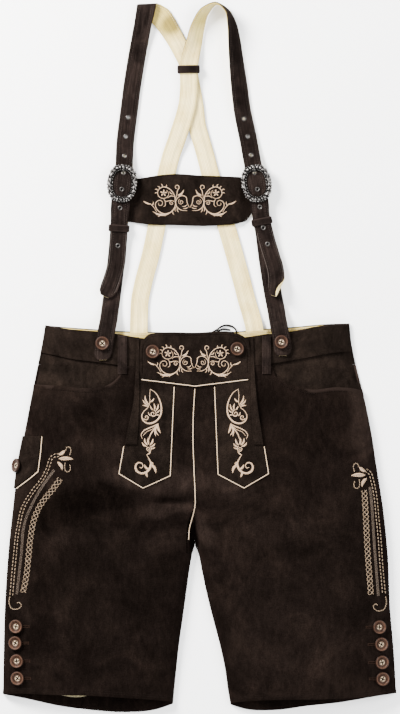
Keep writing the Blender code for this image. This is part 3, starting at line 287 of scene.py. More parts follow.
class Paint:
    """Short names for the nodes of one material. Sizes are in metres."""

    def __init__(self, name, roughness, metallic=0.0, **fixed):
        self.material = bpy.data.materials.new(name)
        self.material.use_nodes = True
        self.tree = self.material.node_tree
        self.shader = self.tree.nodes["Principled BSDF"]
        self.shader.inputs["Roughness"].default_value = roughness
        self.shader.inputs["Metallic"].default_value = metallic
        for key, value in fixed.items():
            self.shader.inputs[key.replace("_", " ")].default_value = value

    def node(self, kind, **settings):
        made = self.tree.nodes.new("ShaderNode" + kind)
        for key, value in settings.items():
            setattr(made, key, value)
        return made

    def feed(self, socket, value):
        if isinstance(value, bpy.types.NodeSocket):
            self.tree.links.new(value, socket)
        else:
            socket.default_value = value

    def place(self, kind="Object", scale=(1, 1, 1), turn=(0, 0, 0)):
        source = self.node("TexCoord").outputs[kind]
        mapping = self.node("Mapping")
        mapping.inputs["Scale"].default_value = scale
        mapping.inputs["Rotation"].default_value = turn
        self.tree.links.new(source, mapping.inputs["Vector"])
        return mapping.outputs["Vector"]

    def noise(self, size, detail=3.0, vector=None, rough=0.55, distortion=0.0):
        made = self.node("TexNoise")
        made.inputs["Scale"].default_value = 1 / size
        made.inputs["Detail"].default_value = detail
        made.inputs["Roughness"].default_value = rough
        made.inputs["Distortion"].default_value = distortion
        self.tree.links.new(vector or self.place(), made.inputs["Vector"])
        return made.outputs["Fac"]

    def wave(self, size, vector, direction="X", distortion=0.0):
        made = self.node("TexWave", bands_direction=direction)
        made.inputs["Scale"].default_value = math.pi / 10 / size
        made.inputs["Distortion"].default_value = distortion
        self.tree.links.new(vector, made.inputs["Vector"])
        return made.outputs["Fac"]

    def ramp(self, value, *stops):
        made = self.node("ValToRGB")
        ramp = made.color_ramp
        while len(ramp.elements) < len(stops):
            ramp.elements.new(0.5)
        for element, (at, colour) in zip(ramp.elements, stops):
            element.position = at
            shade = colour if isinstance(colour, tuple) else (colour,) * 3
            element.color = (*shade, 1.0)
        self.feed(made.inputs["Fac"], value)
        return made.outputs["Color"]

    def sums(self, operation, a, b):
        made = self.node("Math", operation=operation)
        self.feed(made.inputs[0], a)
        self.feed(made.inputs[1], b)
        return made.outputs[0]

    def stain(self, share, tone, value, *stops):
        """The tone multiplied by a ramp over the value."""
        return self.mix(share, tone, self.ramp(value, *stops), "MULTIPLY")

    def mix(self, share, a, b, blend="MIX"):
        made = self.node("MixRGB", blend_type=blend)
        for socket, value in zip(made.inputs, (share, a, b)):
            if isinstance(value, tuple):
                value = (*value, 1.0)
            self.feed(socket, value)
        return made.outputs["Color"]

    def bump(self, *layers):
        """Bump layers of (height, distance in metres, strength), coarse to fine."""
        normal = None
        for height, distance, strength in layers:
            made = self.node("Bump")
            made.inputs["Distance"].default_value = distance
            made.inputs["Strength"].default_value = strength
            self.feed(made.inputs["Height"], height)
            if normal:
                self.tree.links.new(normal, made.inputs["Normal"])
            normal = made.outputs["Normal"]
        self.tree.links.new(normal, self.shader.inputs["Normal"])

    def colour(self, value):
        self.feed(self.shader.inputs["Base Color"], value)
        return self.material

    def rough(self, value, low, high):
        made = self.node("MapRange")
        made.inputs["To Min"].default_value = low
        made.inputs["To Max"].default_value = high
        self.feed(made.inputs["Value"], value)
        self.feed(self.shader.inputs["Roughness"], made.outputs["Result"])

    def edges(self, low, high):
        """0 in hollows and on flats, 1 on outside edges."""
        made = self.node("MapRange")
        made.inputs["From Min"].default_value = low
        made.inputs["From Max"].default_value = high
        self.feed(made.inputs["Value"], self.node("NewGeometry").outputs["Pointiness"])
        return made.outputs["Result"]


def times(colour, factor):
    return tuple(min(c * factor, 1.0) for c in colour)


# Patches of the nap's own tone and of painted fold shade and highlight, lighter or darker, in
# millimetres.
# x, y, half length, half width, turn in degrees, tone
NAP_TONE_AND_FOLD_SHADE_PATCHES = [
    (-192, -216, 78, 38, 12, 0.42), (-122, -206, 40, 22, -40, 0.50),
    (-165, -92, 34, 24, -60, 0.60), (-62, -176, 86, 26, -4, 2.7), (-84, -140, 60, 22, -14, 1.5),
    (-50, -220, 52, 13, 8, 2.2), (-236, -230, 20, 100, 4, 0.75), (-48, -252, 46, 34, 30, 1.25),
    (2, -240, 44, 16, -62, 2.1), (56, -184, 34, 30, 0, 1.5), (110, -246, 64, 22, 0, 1.45),
    (131, -92, 118, 80, 5, 0.72), (-88, -366, 74, 100, 10, 1.05), (131, -395, 112, 110, 0, 1.35),
    (-178, -24, 46, 17, -62, 1.6), (-128, -66, 26, 15, -80, 1.5), (236, -70, 26, 110, 6, 2.3),
    (222, 2, 20, 46, 6, 2.4), (44, -178, 40, 20, 0, 1.4),
    (20, -40, 60, 30, 0, 1.3), (-48, -300, 34, 34, 0, 0.70), (-118, -236, 20, 12, 0, 0.62),
    (-186, -258, 38, 14, 0, 1.35), (-228, -345, 24, 60, 0, 0.74), (262, -400, 18, 70, 0, 1.5),
]
# Painted shade of the dark slit and of the crease beside the crotch, which keep their outlines.
CREASE_SHADE_PATCHES = [
    (-10, -256, 34, 8, 98, 0.02), (-9, -268, 24, 9, 90, 0.05), (-47, -207, 36, 5.6, -2, 0.62),
]
# Painted olive shade where the lining turns over at the shoulders.
LINING_SHADE_PATCHES = [
    (-52, 492, 44, 30, -50, (0.62, 0.60, 0.36)), (-42, 483, 24, 17, 50, (0.42, 0.40, 0.24)),
    (6, 500, 58, 24, 20, (0.72, 0.72, 0.48)), (6, 470, 20, 34, 0, (0.80, 0.80, 0.58)),
]


def shaded(paint, tone, patches, wander):
    """The tone, lighter or darker in soft oval patches, whose edges wander that far."""
    spread = paint.node("TexNoise")
    spread.inputs["Scale"].default_value = 16
    spread.inputs["Detail"].default_value = 4
    paint.feed(spread.inputs["Vector"], paint.place())
    moved = paint.node("VectorMath", operation="MULTIPLY_ADD")
    paint.feed(moved.inputs[0], spread.outputs["Color"])
    moved.inputs[1].default_value = (wander, wander, 0)
    paint.feed(moved.inputs[2], paint.place())
    for x, y, length, width, turn, share in patches:
        patch = paint.node("Mapping", vector_type="TEXTURE")
        patch.inputs["Location"].default_value = (x * MM + wander / 2, y * MM + wander / 2, 0)
        patch.inputs["Rotation"].default_value = (0, 0, math.radians(turn))
        patch.inputs["Scale"].default_value = (length * MM, width * MM, 1000)
        paint.feed(patch.inputs["Vector"], moved.outputs[0])
        fade = paint.node("TexGradient", gradient_type="SPHERICAL")
        paint.feed(fade.inputs["Vector"], patch.outputs[0])
        tone = paint.stain(1.0, tone, fade.outputs["Fac"], (0.0, 1.0), (0.5, share))
    return tone


def suede(name, base, brush=0.0, cloud=0.085, wear=1.0, patches=False, strap=False):
    """Brushed suede: cloudy nap, worn patches, short streaks, a fine pile, edges lightened by wear
    and a painted highlight.

    brush is the way of the nap in radians, cloud the size of its clouds.
    """
    paint = Paint(
        name, 0.92, Specular_IOR_Level=0.0, Sheen_Weight=0.018, Sheen_Roughness=0.40,
        Sheen_Tint=(0.86, 0.66, 0.56, 1.0),
    )
    clouds = paint.noise(cloud, 5.0, rough=0.62, distortion=0.8)
    tone = paint.ramp(
        clouds, (0.32, times(base, 0.60)), (0.50, base),
        (0.68, (base[0] * 1.75, base[1] * 1.70, base[2] * 1.65)),
    )
    # Painted fold shade and highlight mixed with the nap's own tone, then the painted shade of the
    # crotch slit and crease.
    if patches:
        tone = shaded(paint, tone, NAP_TONE_AND_FOLD_SHADE_PATCHES, 0.028)
        tone = shaded(paint, tone, CREASE_SHADE_PATCHES, 0.004)
    worn = paint.noise(
        0.046, 6.0, paint.place(scale=(1.0, 0.5, 1.0), turn=(0, 0, brush + 0.9)), 0.74, 1.2,
    )
    lightened = paint.ramp(worn, (0.50, 0.0), (0.72, 1.0))
    tone = paint.mix(
        paint.sums("MULTIPLY", lightened, 0.16 * wear), tone,
        (base[0] * 4.0, base[1] * 3.8, base[2] * 3.7),
    )
    streaks = paint.noise(
        0.006, 4.0, paint.place(scale=(1.0, 0.40, 1.0), turn=(0, 0, brush)), rough=0.7,
    )
    tone = paint.stain(0.6, tone, streaks, (0.32, 0.55), (0.68, 1.40))
    if strap:
        grain = paint.noise(0.0030, 4.0, paint.place("UV", (1.0, 0.035, 1.0)), 0.65)
        tone = paint.stain(1.0, tone, grain, (0.34, 0.55), (0.66, 1.60))
    pile = paint.noise(0.0011, 3.0, rough=0.75)
    tone = paint.stain(0.8, tone, pile, (0.34, 0.45), (0.66, 1.70))
    # Outside edges lighter: partly wear, partly a painted highlight where the edges catch the
    # light, strongest on the straps.
    tone = paint.mix(paint.edges(0.53, 0.66), tone, times(base, 6.0 if strap else 2.8))
    paint.rough(streaks, 0.84, 0.99)
    paint.bump(
        (clouds, 0.0060, 0.40), (worn, 0.0018, 0.35), (streaks, 0.0005, 0.4),
        (pile, 0.00025, 0.6),
    )
    return paint.colour(tone)


def cut_edge(name, base):
    """The raw edge of leather, with its fibres."""
    paint = Paint(name, 0.9, Specular_IOR_Level=0.0)
    fibres = paint.noise(0.0009, 4.0, paint.place(scale=(1, 1, 3)), rough=0.8)
    paint.bump((fibres, 0.0003, 0.5))
    return paint.colour(paint.ramp(fibres, (0.3, times(base, 0.6)), (0.7, times(base, 1.4))))


def ribbed_lining(name, base, deep):
    """Soft pale lining with lengthwise ribs and a fine cross weave."""
    paint = Paint(
        name, 0.86, Specular_IOR_Level=0.2, Sheen_Weight=0.25, Sheen_Roughness=0.5,
    )
    along = paint.place("UV")
    ribs = paint.wave(0.0021, along, "X", 0.35)
    weave = paint.wave(0.0007, along, "Y", 0.5)
    bands = paint.noise(0.0052, 2.0, paint.place("UV", (1.0, 0.03, 1.0)))
    marks = paint.noise(0.030, 4.0, rough=0.6)
    white = (1.0, 1.0, 1.0)
    tone = paint.ramp(bands, (0.34, times(base, 0.70)), (0.60, base))
    # Painted olive shade where the lining turns over at the shoulders.
    tone = shaded(paint, tone, LINING_SHADE_PATCHES, 0.015)
    # Painted shade: darker in the grooves between the ribs.
    tone = paint.stain(0.75, tone, ribs, (0.0, deep), (0.40, white))
    tone = paint.stain(0.6, tone, marks, (0.34, deep), (0.60, white))
    # Painted shade: the lining darker and yellower toward both edges of the band.
    split = paint.node("SeparateXYZ")
    paint.feed(split.inputs["Vector"], along)
    shade_toward_edges = paint.sums("MULTIPLY", paint.sums("ABSOLUTE", split.outputs["X"], 0), 70.0)
    tone = paint.stain(1.0, tone, shade_toward_edges, (0.45, white), (0.90, (0.82, 0.80, 0.58)))
    paint.bump((ribs, 0.0005, 0.6), (weave, 0.0002, 0.35), (paint.noise(0.0009), 0.0002, 0.3))
    return paint.colour(tone)


def thread(name, light, dark, gloss=0.42, grain=0.0010, shine=0.12):
    """Sewing or embroidery thread: a soft shine, and tone that changes stitch by stitch."""
    paint = Paint(
        name, gloss, Specular_IOR_Level=shine, Sheen_Weight=0.66 * shine, Sheen_Roughness=0.35,
    )
    strands = paint.noise(grain, 3.0, rough=0.7)
    patches = paint.noise(0.009, 2.0)
    tone = paint.ramp(strands, (0.30, dark), (0.58, light))
    tone = paint.stain(0.45, tone, patches, (0.3, 0.72), (0.65, 1.12))
    paint.bump((strands, 0.0002, 0.5))
    return paint.colour(tone)


def cord_cover(name, light, dark):
    """Piping cord in a narrow twill cover: slanting ribs along it."""
    paint = Paint(name, 0.62, Specular_IOR_Level=0.3, Sheen_Weight=0.3, Sheen_Roughness=0.4)
    ribs = paint.wave(0.0010, paint.place("UV", (1, 1, 1), (0, 0, 0.6)), "Y", 0.4)
    soil = paint.noise(0.016, 3.0)
    tone = paint.ramp(ribs, (0.05, dark), (0.45, light))
    tone = paint.stain(0.5, tone, soil, (0.35, 0.80), (0.62, 1.05))
    paint.bump((ribs, 0.0003, 0.6))
    return paint.colour(tone)


def cast_metal(name, bright, dark):
    """Antiqued cast metal: U of its UVs is 0 in blackened hollows and 1 on rubbed crests."""
    paint = Paint(name, 0.34, 1.0)
    split = paint.node("SeparateXYZ")
    paint.feed(split.inputs["Vector"], paint.place("UV"))
    stain = paint.noise(0.0030, 4.0, rough=0.7)
    lightened = paint.sums("ADD", split.outputs["X"], paint.sums("MULTIPLY", stain, 0.3))
    paint.rough(stain, 0.20, 0.46)
    paint.bump((paint.noise(0.0009, 3.0), 0.0001, 0.35))
    return paint.colour(
        paint.ramp(lightened, (0.42, dark), (0.68, times(bright, 0.22)), (0.95, bright)))


def drawn_wire(name, bright, dark):
    """Metal wire with a thin uneven tarnish."""
    paint = Paint(name, 0.32, 1.0)
    stain = paint.noise(0.0024, 4.0, rough=0.7)
    paint.rough(stain, 0.24, 0.46)
    return paint.colour(paint.ramp(stain, (0.34, dark), (0.56, bright)))


def horn(name, rim):
    """Stag horn: pale in the dish, partly a painted highlight; painted shade in the groove; a rim
    as light as rim says; with streaks.
    """
    paint = Paint(name, 0.38, Specular_IOR_Level=0.05)
    split = paint.node("SeparateXYZ")
    paint.feed(split.inputs["Vector"], paint.place("UV"))
    radius = split.outputs["X"]
    streaks = paint.noise(0.0028, 5.0, paint.place(scale=(1.0, 0.30, 1.0)), 0.7, 1.2)
    uneven = paint.sums("MULTIPLY", paint.sums("SUBTRACT", streaks, 0.5), 0.22)
    uneven = paint.sums("ADD", radius, uneven)
    # Pale dish: the horn's own pale centre and a painted highlight; darkest ring: painted shade in
    # the groove.
    tone = paint.ramp(
        uneven, (0.02, (0.440, 0.350, 0.245)), (0.31, (0.230, 0.172, 0.118)),
        (0.42, times((0.017, 0.0086, 0.0052), rim)), (0.54, times((0.0070, 0.0031, 0.0019), rim)),
        (0.70, times((0.018, 0.0085, 0.0051), rim)), (0.84, times((0.031, 0.0155, 0.0098), rim)),
        (0.94, (0.008, 0.0037, 0.0024)),
    )
    tone = paint.stain(0.7, tone, streaks, (0.34, 0.25), (0.62, 1.55))
    paint.rough(streaks, 0.26, 0.55)
    paint.bump((streaks, 0.0003, 0.35), (paint.noise(0.0006), 0.0001, 0.2))
    return paint.colour(tone)


def plain_floor():
    paint = Paint("pale_floor", 0.9, Specular_IOR_Level=0.1)
    return paint.colour(paint.ramp(paint.noise(0.4, 2.0), (0.3, 0.90), (0.7, 0.93)))


SUEDE = suede("body_suede", (0.0029, 0.00195, 0.00160), 0.25, patches=True)
TRIM = suede("trim_suede", (0.0037, 0.0026, 0.00208), -0.15, 0.05, 0.7)
STRAP = suede("strap_suede", (0.0044, 0.0031, 0.0027), 0.0, 0.05, 0.8, strap=True)
EDGE = cut_edge("cut_edge", (0.0085, 0.0058, 0.0048))
LINING = ribbed_lining("cream_lining", (0.74, 0.61, 0.30), (0.74, 0.65, 0.38))
# Painted shade: a much darker copy of the cream lining, for the sliver inside the left leg.
LINING_DEEP_SHADE = ribbed_lining("cream_lining_deep_shade", (0.22, 0.19, 0.14), (0.30, 0.27, 0.20))
# Painted shade: a darker copy of the cream lining, for the waist lining.
LINING_HALF_SHADE = ribbed_lining("cream_lining_half_shade", (0.52, 0.42, 0.20), (0.66, 0.56, 0.32))
PIPING = cord_cover("cream_piping", (0.42, 0.31, 0.20), (0.22, 0.15, 0.09))
SILK = thread("embroidery_thread", (0.38, 0.26, 0.165), (0.20, 0.13, 0.08))
SILK_MIDDLE = thread("middle_silk", (0.30, 0.215, 0.140), (0.15, 0.105, 0.068))
SILK_DIM = thread("dim_silk", (0.125, 0.092, 0.068), (0.050, 0.035, 0.025))
DULL = {"gloss": 0.6, "shine": 0.005}
SEWING = thread("dark_thread", (0.0085, 0.0058, 0.0048), (0.0042, 0.0028, 0.0023), **DULL)
STRAP_SEWING = thread("strap_thread", (0.034, 0.0255, 0.022), (0.013, 0.0096, 0.0082), **DULL)
BUTTON_SEWING = thread(
    "button_thread", (0.0026, 0.0016, 0.0011), (0.0009, 0.0006, 0.0004), **DULL)
HOLE_SEWING = thread("buttonhole_thread", (0.018, 0.010, 0.0072), (0.006, 0.0034, 0.0024), **DULL)
# Painted highlight: the pale line along the tails' lit cut edges.
TAIL_EDGE_HIGHLIGHT = thread("tail_edge_highlight", (0.100, 0.084, 0.076), (0.040, 0.033, 0.030), **DULL)
# Painted shade: a near-black line for buttonhole slits and sunk seams.
SHADE_LINE = cut_edge("shade_line", (0.0007, 0.0005, 0.0004))
CREAM_SEWING = thread("cream_sewing", (0.66, 0.54, 0.36), (0.40, 0.32, 0.20), 0.6)
SILVER = cast_metal("antique_silver", (0.098, 0.092, 0.088), (0.0014, 0.0013, 0.0012))
WIRE = drawn_wire("silver_wire", (0.060, 0.056, 0.053), (0.014, 0.013, 0.012))
NICKEL = drawn_wire("dark_nickel", (0.075, 0.070, 0.066), (0.022, 0.020, 0.019))
HORN = horn("stag_horn", 1.0)
PALE_HORN = horn("pale_horn", 1.5)
LACE = suede("lace_leather", (0.0012, 0.0008, 0.0007), 0.0, 0.02)


# ---------------------------------------------------------------- mesh helpers

PIECES = []


def linked(name, data):
    made = bpy.data.objects.new(name, data)
    bpy.context.scene.collection.objects.link(made)
    return made


def add_piece(name, mesh, finishes, replaces=()):
    made = linked(name, mesh)
    for finish in finishes:
        made.data.materials.append(finish)
    if replaces:
        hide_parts(*replaces)
    PIECES.append(made)
    return made


def smooth_faces(mesh):
    mesh.polygons.foreach_set("use_smooth", [True] * len(mesh.polygons))


def set_uv(mesh, values):
    """Give each vertex a UV in metres. values has one row for each vertex."""
    layer = mesh.uv_layers.new(name="UVMap")
    corners = np.zeros(len(mesh.loops), dtype=np.int32)
    mesh.loops.foreach_get("vertex_index", corners)
    layer.data.foreach_set("uv", np.asarray(values, np.float32)[corners].ravel())


def mesh_from(name, points, faces, uv=None):
    """A mesh from an array of points, lists of corners and a UV for each point."""
    mesh = bpy.data.meshes.new(name)
    mesh.from_pydata(points.reshape(-1, 3).tolist(), [], faces)
    if uv is not None:
        set_uv(mesh, uv.reshape(-1, 2))
    return mesh


def quads(*corners):
    """Faces from four arrays of corners."""
    return np.stack(corners, -1).reshape(-1, 4)


def face_outward(mesh, merge=0.0):
    """Turn the faces outward, with points that are closer than merge made one."""
    work = bmesh.new()
    work.from_mesh(mesh)
    if merge:
        bmesh.ops.remove_doubles(work, verts=work.verts, dist=merge)
    bmesh.ops.recalc_face_normals(work, faces=work.faces)
    work.to_mesh(mesh)
    work.free()
    smooth_faces(mesh)
    return mesh


def drill(made, cutter):
    """Add a modifier that cuts the cutter's shape out of the piece."""
    step = made.modifiers.new("holes", "BOOLEAN")
    step.operation, step.object, step.solver = "DIFFERENCE", cutter, "EXACT"


def settle(made):
    """Apply the piece's modifiers to its mesh."""
    bpy.context.view_layer.update()
    shape = made.evaluated_get(bpy.context.evaluated_depsgraph_get())
    mesh = bpy.data.meshes.new_from_object(shape)
    made.modifiers.clear()
    made.data = mesh
    smooth_faces(mesh)
    return made


def grid_mesh(name, grid, flip=False, uv=None):
    index = np.arange(grid[..., 0].size).reshape(grid.shape[:2])
    faces = quads(index[:-1, :-1], index[:-1, 1:], index[1:, 1:], index[1:, :-1])
    if flip:
        faces = faces[:, ::-1]
    return mesh_from(name, grid, faces.tolist(), grid[..., :2] if uv is None else uv)


def shell(name, grid, thickness, finishes, replaces=(), flip=False, uv=None,
          round_edge=0.00045, holes=()):
    """A leather or cloth piece: a grid of outer-face points with a wall behind it.

    The rim takes the last of the finishes. holes are upright (place, radius) pegs.
    """
    made = add_piece(name, grid_mesh(name, grid, flip, uv), finishes, replaces)
    wall = made.modifiers.new("wall", "SOLIDIFY")
    wall.thickness, wall.offset, wall.use_even_offset = thickness, -1.0, True
    wall.material_offset_rim = len(finishes) - 1
    cutter = None
    if len(holes):
        cutter = pegs(name + "_pegs", holes)
        drill(made, cutter)
    if round_edge:
        rounding = made.modifiers.new("round", "BEVEL")
        rounding.width, rounding.segments = round_edge, 2
        rounding.limit_method, rounding.angle_limit = "ANGLE", math.radians(48)
    settle(made)
    if cutter:
        bpy.data.objects.remove(cutter)
    return made


def pegs(name, holes):
    work = bmesh.new()
    for place, radius in holes:
        bmesh.ops.create_cone(
            work, cap_ends=True, segments=28, radius1=radius, radius2=radius, depth=0.014,
            matrix=Matrix.Translation(place),
        )
    mesh = bpy.data.meshes.new(name)
    work.to_mesh(mesh)
    work.free()
    return linked(name, mesh)


def line_frames(points, normals):
    """Tangent, side and up directions along a line of points."""
    tangents = unit(np.gradient(points, axis=0))
    sides = unit(np.cross(tangents, normals))
    return tangents, sides, np.cross(sides, tangents)


def arc_length(points):
    return np.concatenate(([0.0], np.cumsum(np.linalg.norm(np.diff(points, axis=0), axis=1))))


def resample(points, spacing, *others):
    """The same line, and values along it, at even spacing."""
    along = arc_length(points)
    count = max(2, int(round(along[-1] / spacing)) + 1)
    places = np.linspace(0, along[-1], count)
    made = []
    for values in (points, *others):
        values = np.asarray(values, float)
        if values.ndim == 1:
            made.append(np.interp(places, along, values))
        else:
            made.append(np.stack([np.interp(places, along, c) for c in values.T], -1))
    return made if others else made[0]


def round_cord(name, points, normals, radius, finishes, replaces=(), sides=10):
    """A round cord along the points, with rounded ends and UVs in metres."""
    along = arc_length(points)
    tangents, across, up = line_frames(points, normals)
    inside = np.clip(np.minimum(along, along[-1] - along) / radius, 0.0, 1.0)
    radii = radius * np.sqrt(inside * 0.96 + 0.04)
    angles = np.linspace(0, 2 * math.pi, sides, endpoint=False)
    ring = (
        points[:, None] + radii[:, None, None] * (
            across[:, None] * np.cos(angles)[None, :, None]
            + up[:, None] * np.sin(angles)[None, :, None]
        )
    )
    index = np.arange(len(points) * sides).reshape(-1, sides)
    following = np.roll(index, -1, axis=1)
    faces = quads(index[:-1], following[:-1], following[1:], index[1:]).tolist()
    faces += [index[0, ::-1].tolist(), index[-1].tolist()]
    uv = np.stack(np.broadcast_arrays(
        np.sin(angles / 2)[None, :] * radius * 3, along[:, None]), -1)
    mesh = mesh_from(name, ring, faces, uv)
    smooth_faces(mesh)
    return add_piece(name, mesh, finishes, replaces)


# ---------------------------------------------------------------- threads

# share along the stitch, share of its height, share of its half width
STITCH_RINGS = ((0.22, 0.90, 0.97), (0.78, 0.90, 0.97))
STITCH_SINK = 0.00012       # how deep a stitch's ends go in
# across and up, as shares of half width and height
STITCH_SECTION = ((-1.0, 0.10), (-0.45, 0.96), (0.45, 0.96), (1.0, 0.10))


def stitch_mesh(name, parts, finish):
    """One piece made of many stitches. Each part is (starts, ends, normals, half, height)."""
    blocks = []
    for starts, ends, normals, half, height in parts:
        if len(starts) == 0:
            continue
        half = np.broadcast_to(half, len(starts))[:, None]
        height = np.broadcast_to(height, len(starts))[:, None]
        run = ends - starts
        sides = unit(np.cross(unit(run), normals))
        points = [starts - normals * STITCH_SINK]
        for share, up, wide in STITCH_RINGS:
            middle = starts + run * share
            for u, v in STITCH_SECTION:
                points.append(middle + sides * half * wide * u + normals * height * up * v)
        points.append(ends - normals * STITCH_SINK)
        blocks.append(np.stack(points, axis=1))
    block = np.concatenate(blocks)
    count, each = block.shape[:2]
    size = len(STITCH_SECTION)
    last = 1 + (len(STITCH_RINGS) - 1) * size
    faces = []
    for k in range(size):
        after = (k + 1) % size
        faces.append((0, 1 + after, 1 + k, 1 + k))
        for a in range(1, last, size):
            b = a + size
            faces.append((a + k, a + after, b + after, b + k))
        faces.append((each - 1, last + k, last + after, last + after))
    table = []
    base = np.arange(count) * each
    for face in faces:
        corners = face[:3] if face[2] == face[3] else face
        table += (base[:, None] + np.array(corners)[None, :]).tolist()
    mesh = mesh_from(name, block, table)
    smooth_faces(mesh)
    return add_piece(name, mesh, [finish])


def running(points, normals, length=0.0025, gap=0.0009, half=0.00026, height=0.0004):
    """A row of stitches along a line of points."""
    along = arc_length(points)
    begins = np.arange(gap / 2, along[-1] - length, length + gap)

    def at(places, values):
        return np.stack([np.interp(places, along, c) for c in values.T], -1)
    starts, ends = at(begins, points), at(begins + length, points)
    return starts, ends, unit(at(begins + length / 2, normals)), half, height


def upward(points):
    return np.zeros_like(points) + (0, 0, 1.0)


def front_line(xy, lift, spacing=0.001):
    """Points and normals over the front along a line given in millimetres."""
    line = resample(np.asarray(xy, float) * MM, spacing)
    return on_front(line[:, 0], line[:, 1], lift)


def satin(path, widths, place, slant=24.0, spacing=0.40, height=0.00042, pad=0.06, half=0.00025):
    """Satin stitch over a stroke: path and half widths in millimetres.

    place turns x, y in metres into points and normals on what carries the stroke.
    """
    path, widths = np.asarray(path, float), np.asarray(widths, float)
    path, widths = resample(path, spacing, widths)
    if len(path) < 3:
        return []
    tangents = unit(np.gradient(path, axis=0))
    turn = math.radians(90 - slant)
    c, s = math.cos(turn), math.sin(turn)
    aim = np.stack([tangents[:, 0] * c - tangents[:, 1] * s,
                    tangents[:, 0] * s + tangents[:, 1] * c], -1)
    reach = (np.maximum(widths, 0.30) / math.cos(math.radians(slant)))[:, None]
    a, b = (path - aim * reach) * MM, (path + aim * reach) * MM
    pa, na = place(a[:, 0], a[:, 1])
    pb, nb = place(b[:, 0], b[:, 1])
    heights = height + pad * widths * MM
    return [(pa, pb, unit(na + nb), half, heights)]


# ---------------------------------------------------------------- body

HEM_FOLD, HEM_RISE = 0.0062, 0.0006         # width and rise of the turned hems
POCKET_FOLD, POCKET_RISE = 0.0075, 0.0004   # and of the turned pocket edges


def edge_height(side, turns, edge, inset=0.0):
    """Where the columns of a front panel meet an edge line."""
    y = edge(inner_x(side, 0.0)) + 0 * turns
    for _ in range(12):
        y = edge(front_point(side, turns, y, inset)[..., 0])
    return y


def panel_grid(side, turns, bottom, top, shares, inset=0.0):
    low = edge_height(side, turns, bottom, inset)
    high = edge_height(side, turns, top, inset)
    y = low[None, :] + (high - low)[None, :] * shares[:, None]
    t = np.broadcast_to(turns[None, :], y.shape)
    return front_point(side, t, y, inset)


def crowded(count):
    """Even turns with a few more columns at the rolled edges."""
    t = np.linspace(0, 1, count)
    return np.unique(np.concatenate((t, [0.004, 0.012, 0.020, 0.980, 0.988, 0.996])))


def leg_top(side):
    """The top edge of a front panel: the pocket's opening, then the waist seam."""
    limit = {-1: 0.106, 1: 0.101}[side]

    def top(x):
        return np.where(x * side > limit, pocket[side](x), waist_seam(x)) - GAP
    return top


def raised(grid, amount, side):
    """The grid moved out along its own normals."""
    du = np.gradient(grid, axis=1)
    dv = np.gradient(grid, axis=0)
    normals = unit(np.cross(du, dv)) * side
    return grid + normals * amount[..., None]


def build_legs():
    for side, word in SIDES:
        turns, shares = crowded(92), np.linspace(0, 1, 128)
        grid = panel_grid(side, turns, front_hem[side], leg_top(side), shares)
        over_hem = grid[..., 1] - front_hem[side](grid[..., 0])
        under_top = leg_top(side)(grid[..., 0]) - grid[..., 1]
        rise = HEM_RISE * smooth_step((HEM_FOLD - over_hem) / 0.0015)
        on_pocket = np.abs(grid[..., 0] + 0.002) > 0.105
        rise += POCKET_RISE * on_pocket * smooth_step((POCKET_FOLD - under_top) / 0.0012)
        grid = raised(grid, rise * smooth_step((turns - 0.02) / 0.05), side)
        shell("front_panel_" + word, grid, LEATHER, [SUEDE, EDGE],
              ["front_leg_" + word], flip=side < 0)
        grid = panel_grid(side, crowded(80), waist_seam, front_waist, np.linspace(0, 1, 22))
        shell("front_waistband_" + word, grid, LEATHER, [TRIM, EDGE],
              ["waistband_front_" + word], flip=side < 0)
        build_facing(side, word)
        build_back_leg(side, word)


def build_facing(side, word):
    """The pocket facing, seen through the curved pocket opening."""
    turns = np.linspace(0.475, 1, 46)
    inset = LEATHER + GAP + 0.0014
    grid = panel_grid(side, turns, lambda x: pocket[side](x) - 0.012,
                      lambda x: waist_seam(x) + 0.007, np.linspace(0, 1, 18), inset)
    shell("facing_" + word, grid, FACING, [TRIM],
          ["pocket_facing_" + word], flip=side < 0)


def build_back_leg(side, word):
    """A back panel, flat on the surface, longer than the front at its hem."""
    across_shares, rows = np.linspace(0, 1, 56), np.linspace(0, 1, 84)[:, None]
    y = BACK_SEAM_Y + 0 * rows * across_shares
    for _ in range(10):
        x = inner_x(side, y) + (outer_x(side, y) - inner_x(side, y)) * across_shares
        low = back_hem[side](x)
        y = low + (BACK_SEAM_Y - GAP - low) * rows
    wave = (soft_noise(x, y, 0.026, 3) - 1) * 0.00015
    grid = np.stack([x, y, LEATHER + wave], -1)
    shell("back_panel_" + word, grid, LEATHER - 0.0003, [SUEDE, EDGE],
          ["back_leg_" + word], flip=side < 0)


def build_hem_lining():
    """The pale lining in the left leg. A sliver of it shows below the front hem."""
    left, width, sag, depth = -0.209, 0.050, 0.0044, 0.0105
    share = np.linspace(0, 1, 60)
    x = left + width * share
    low = front_hem[-1](x) + 0.0004 - sag * np.sin(math.pi * share**1.25) ** 0.85
    rise = np.linspace(0, 1, 12)
    y = low[:, None] + (front_hem[-1](x)[:, None] + depth - low[:, None]) * rise
    z = LEATHER + 0.0008 + 0.0030 * np.sin(math.pi * np.clip(rise * 1.15, 0, 1)) ** 2
    grid = np.stack([x[:, None] + 0 * y, y, z + 0 * y], -1)
    # Drawn in the darker copy of the lining: painted shade inside the leg.
    shell("hem_lining", grid, 0.0004, [LINING_DEEP_SHADE], round_edge=0, flip=True)


BRACE_ENDS, BRACE_LUMP = (-0.088, 0.0805), 0.0036   # where the lining goes over the braces


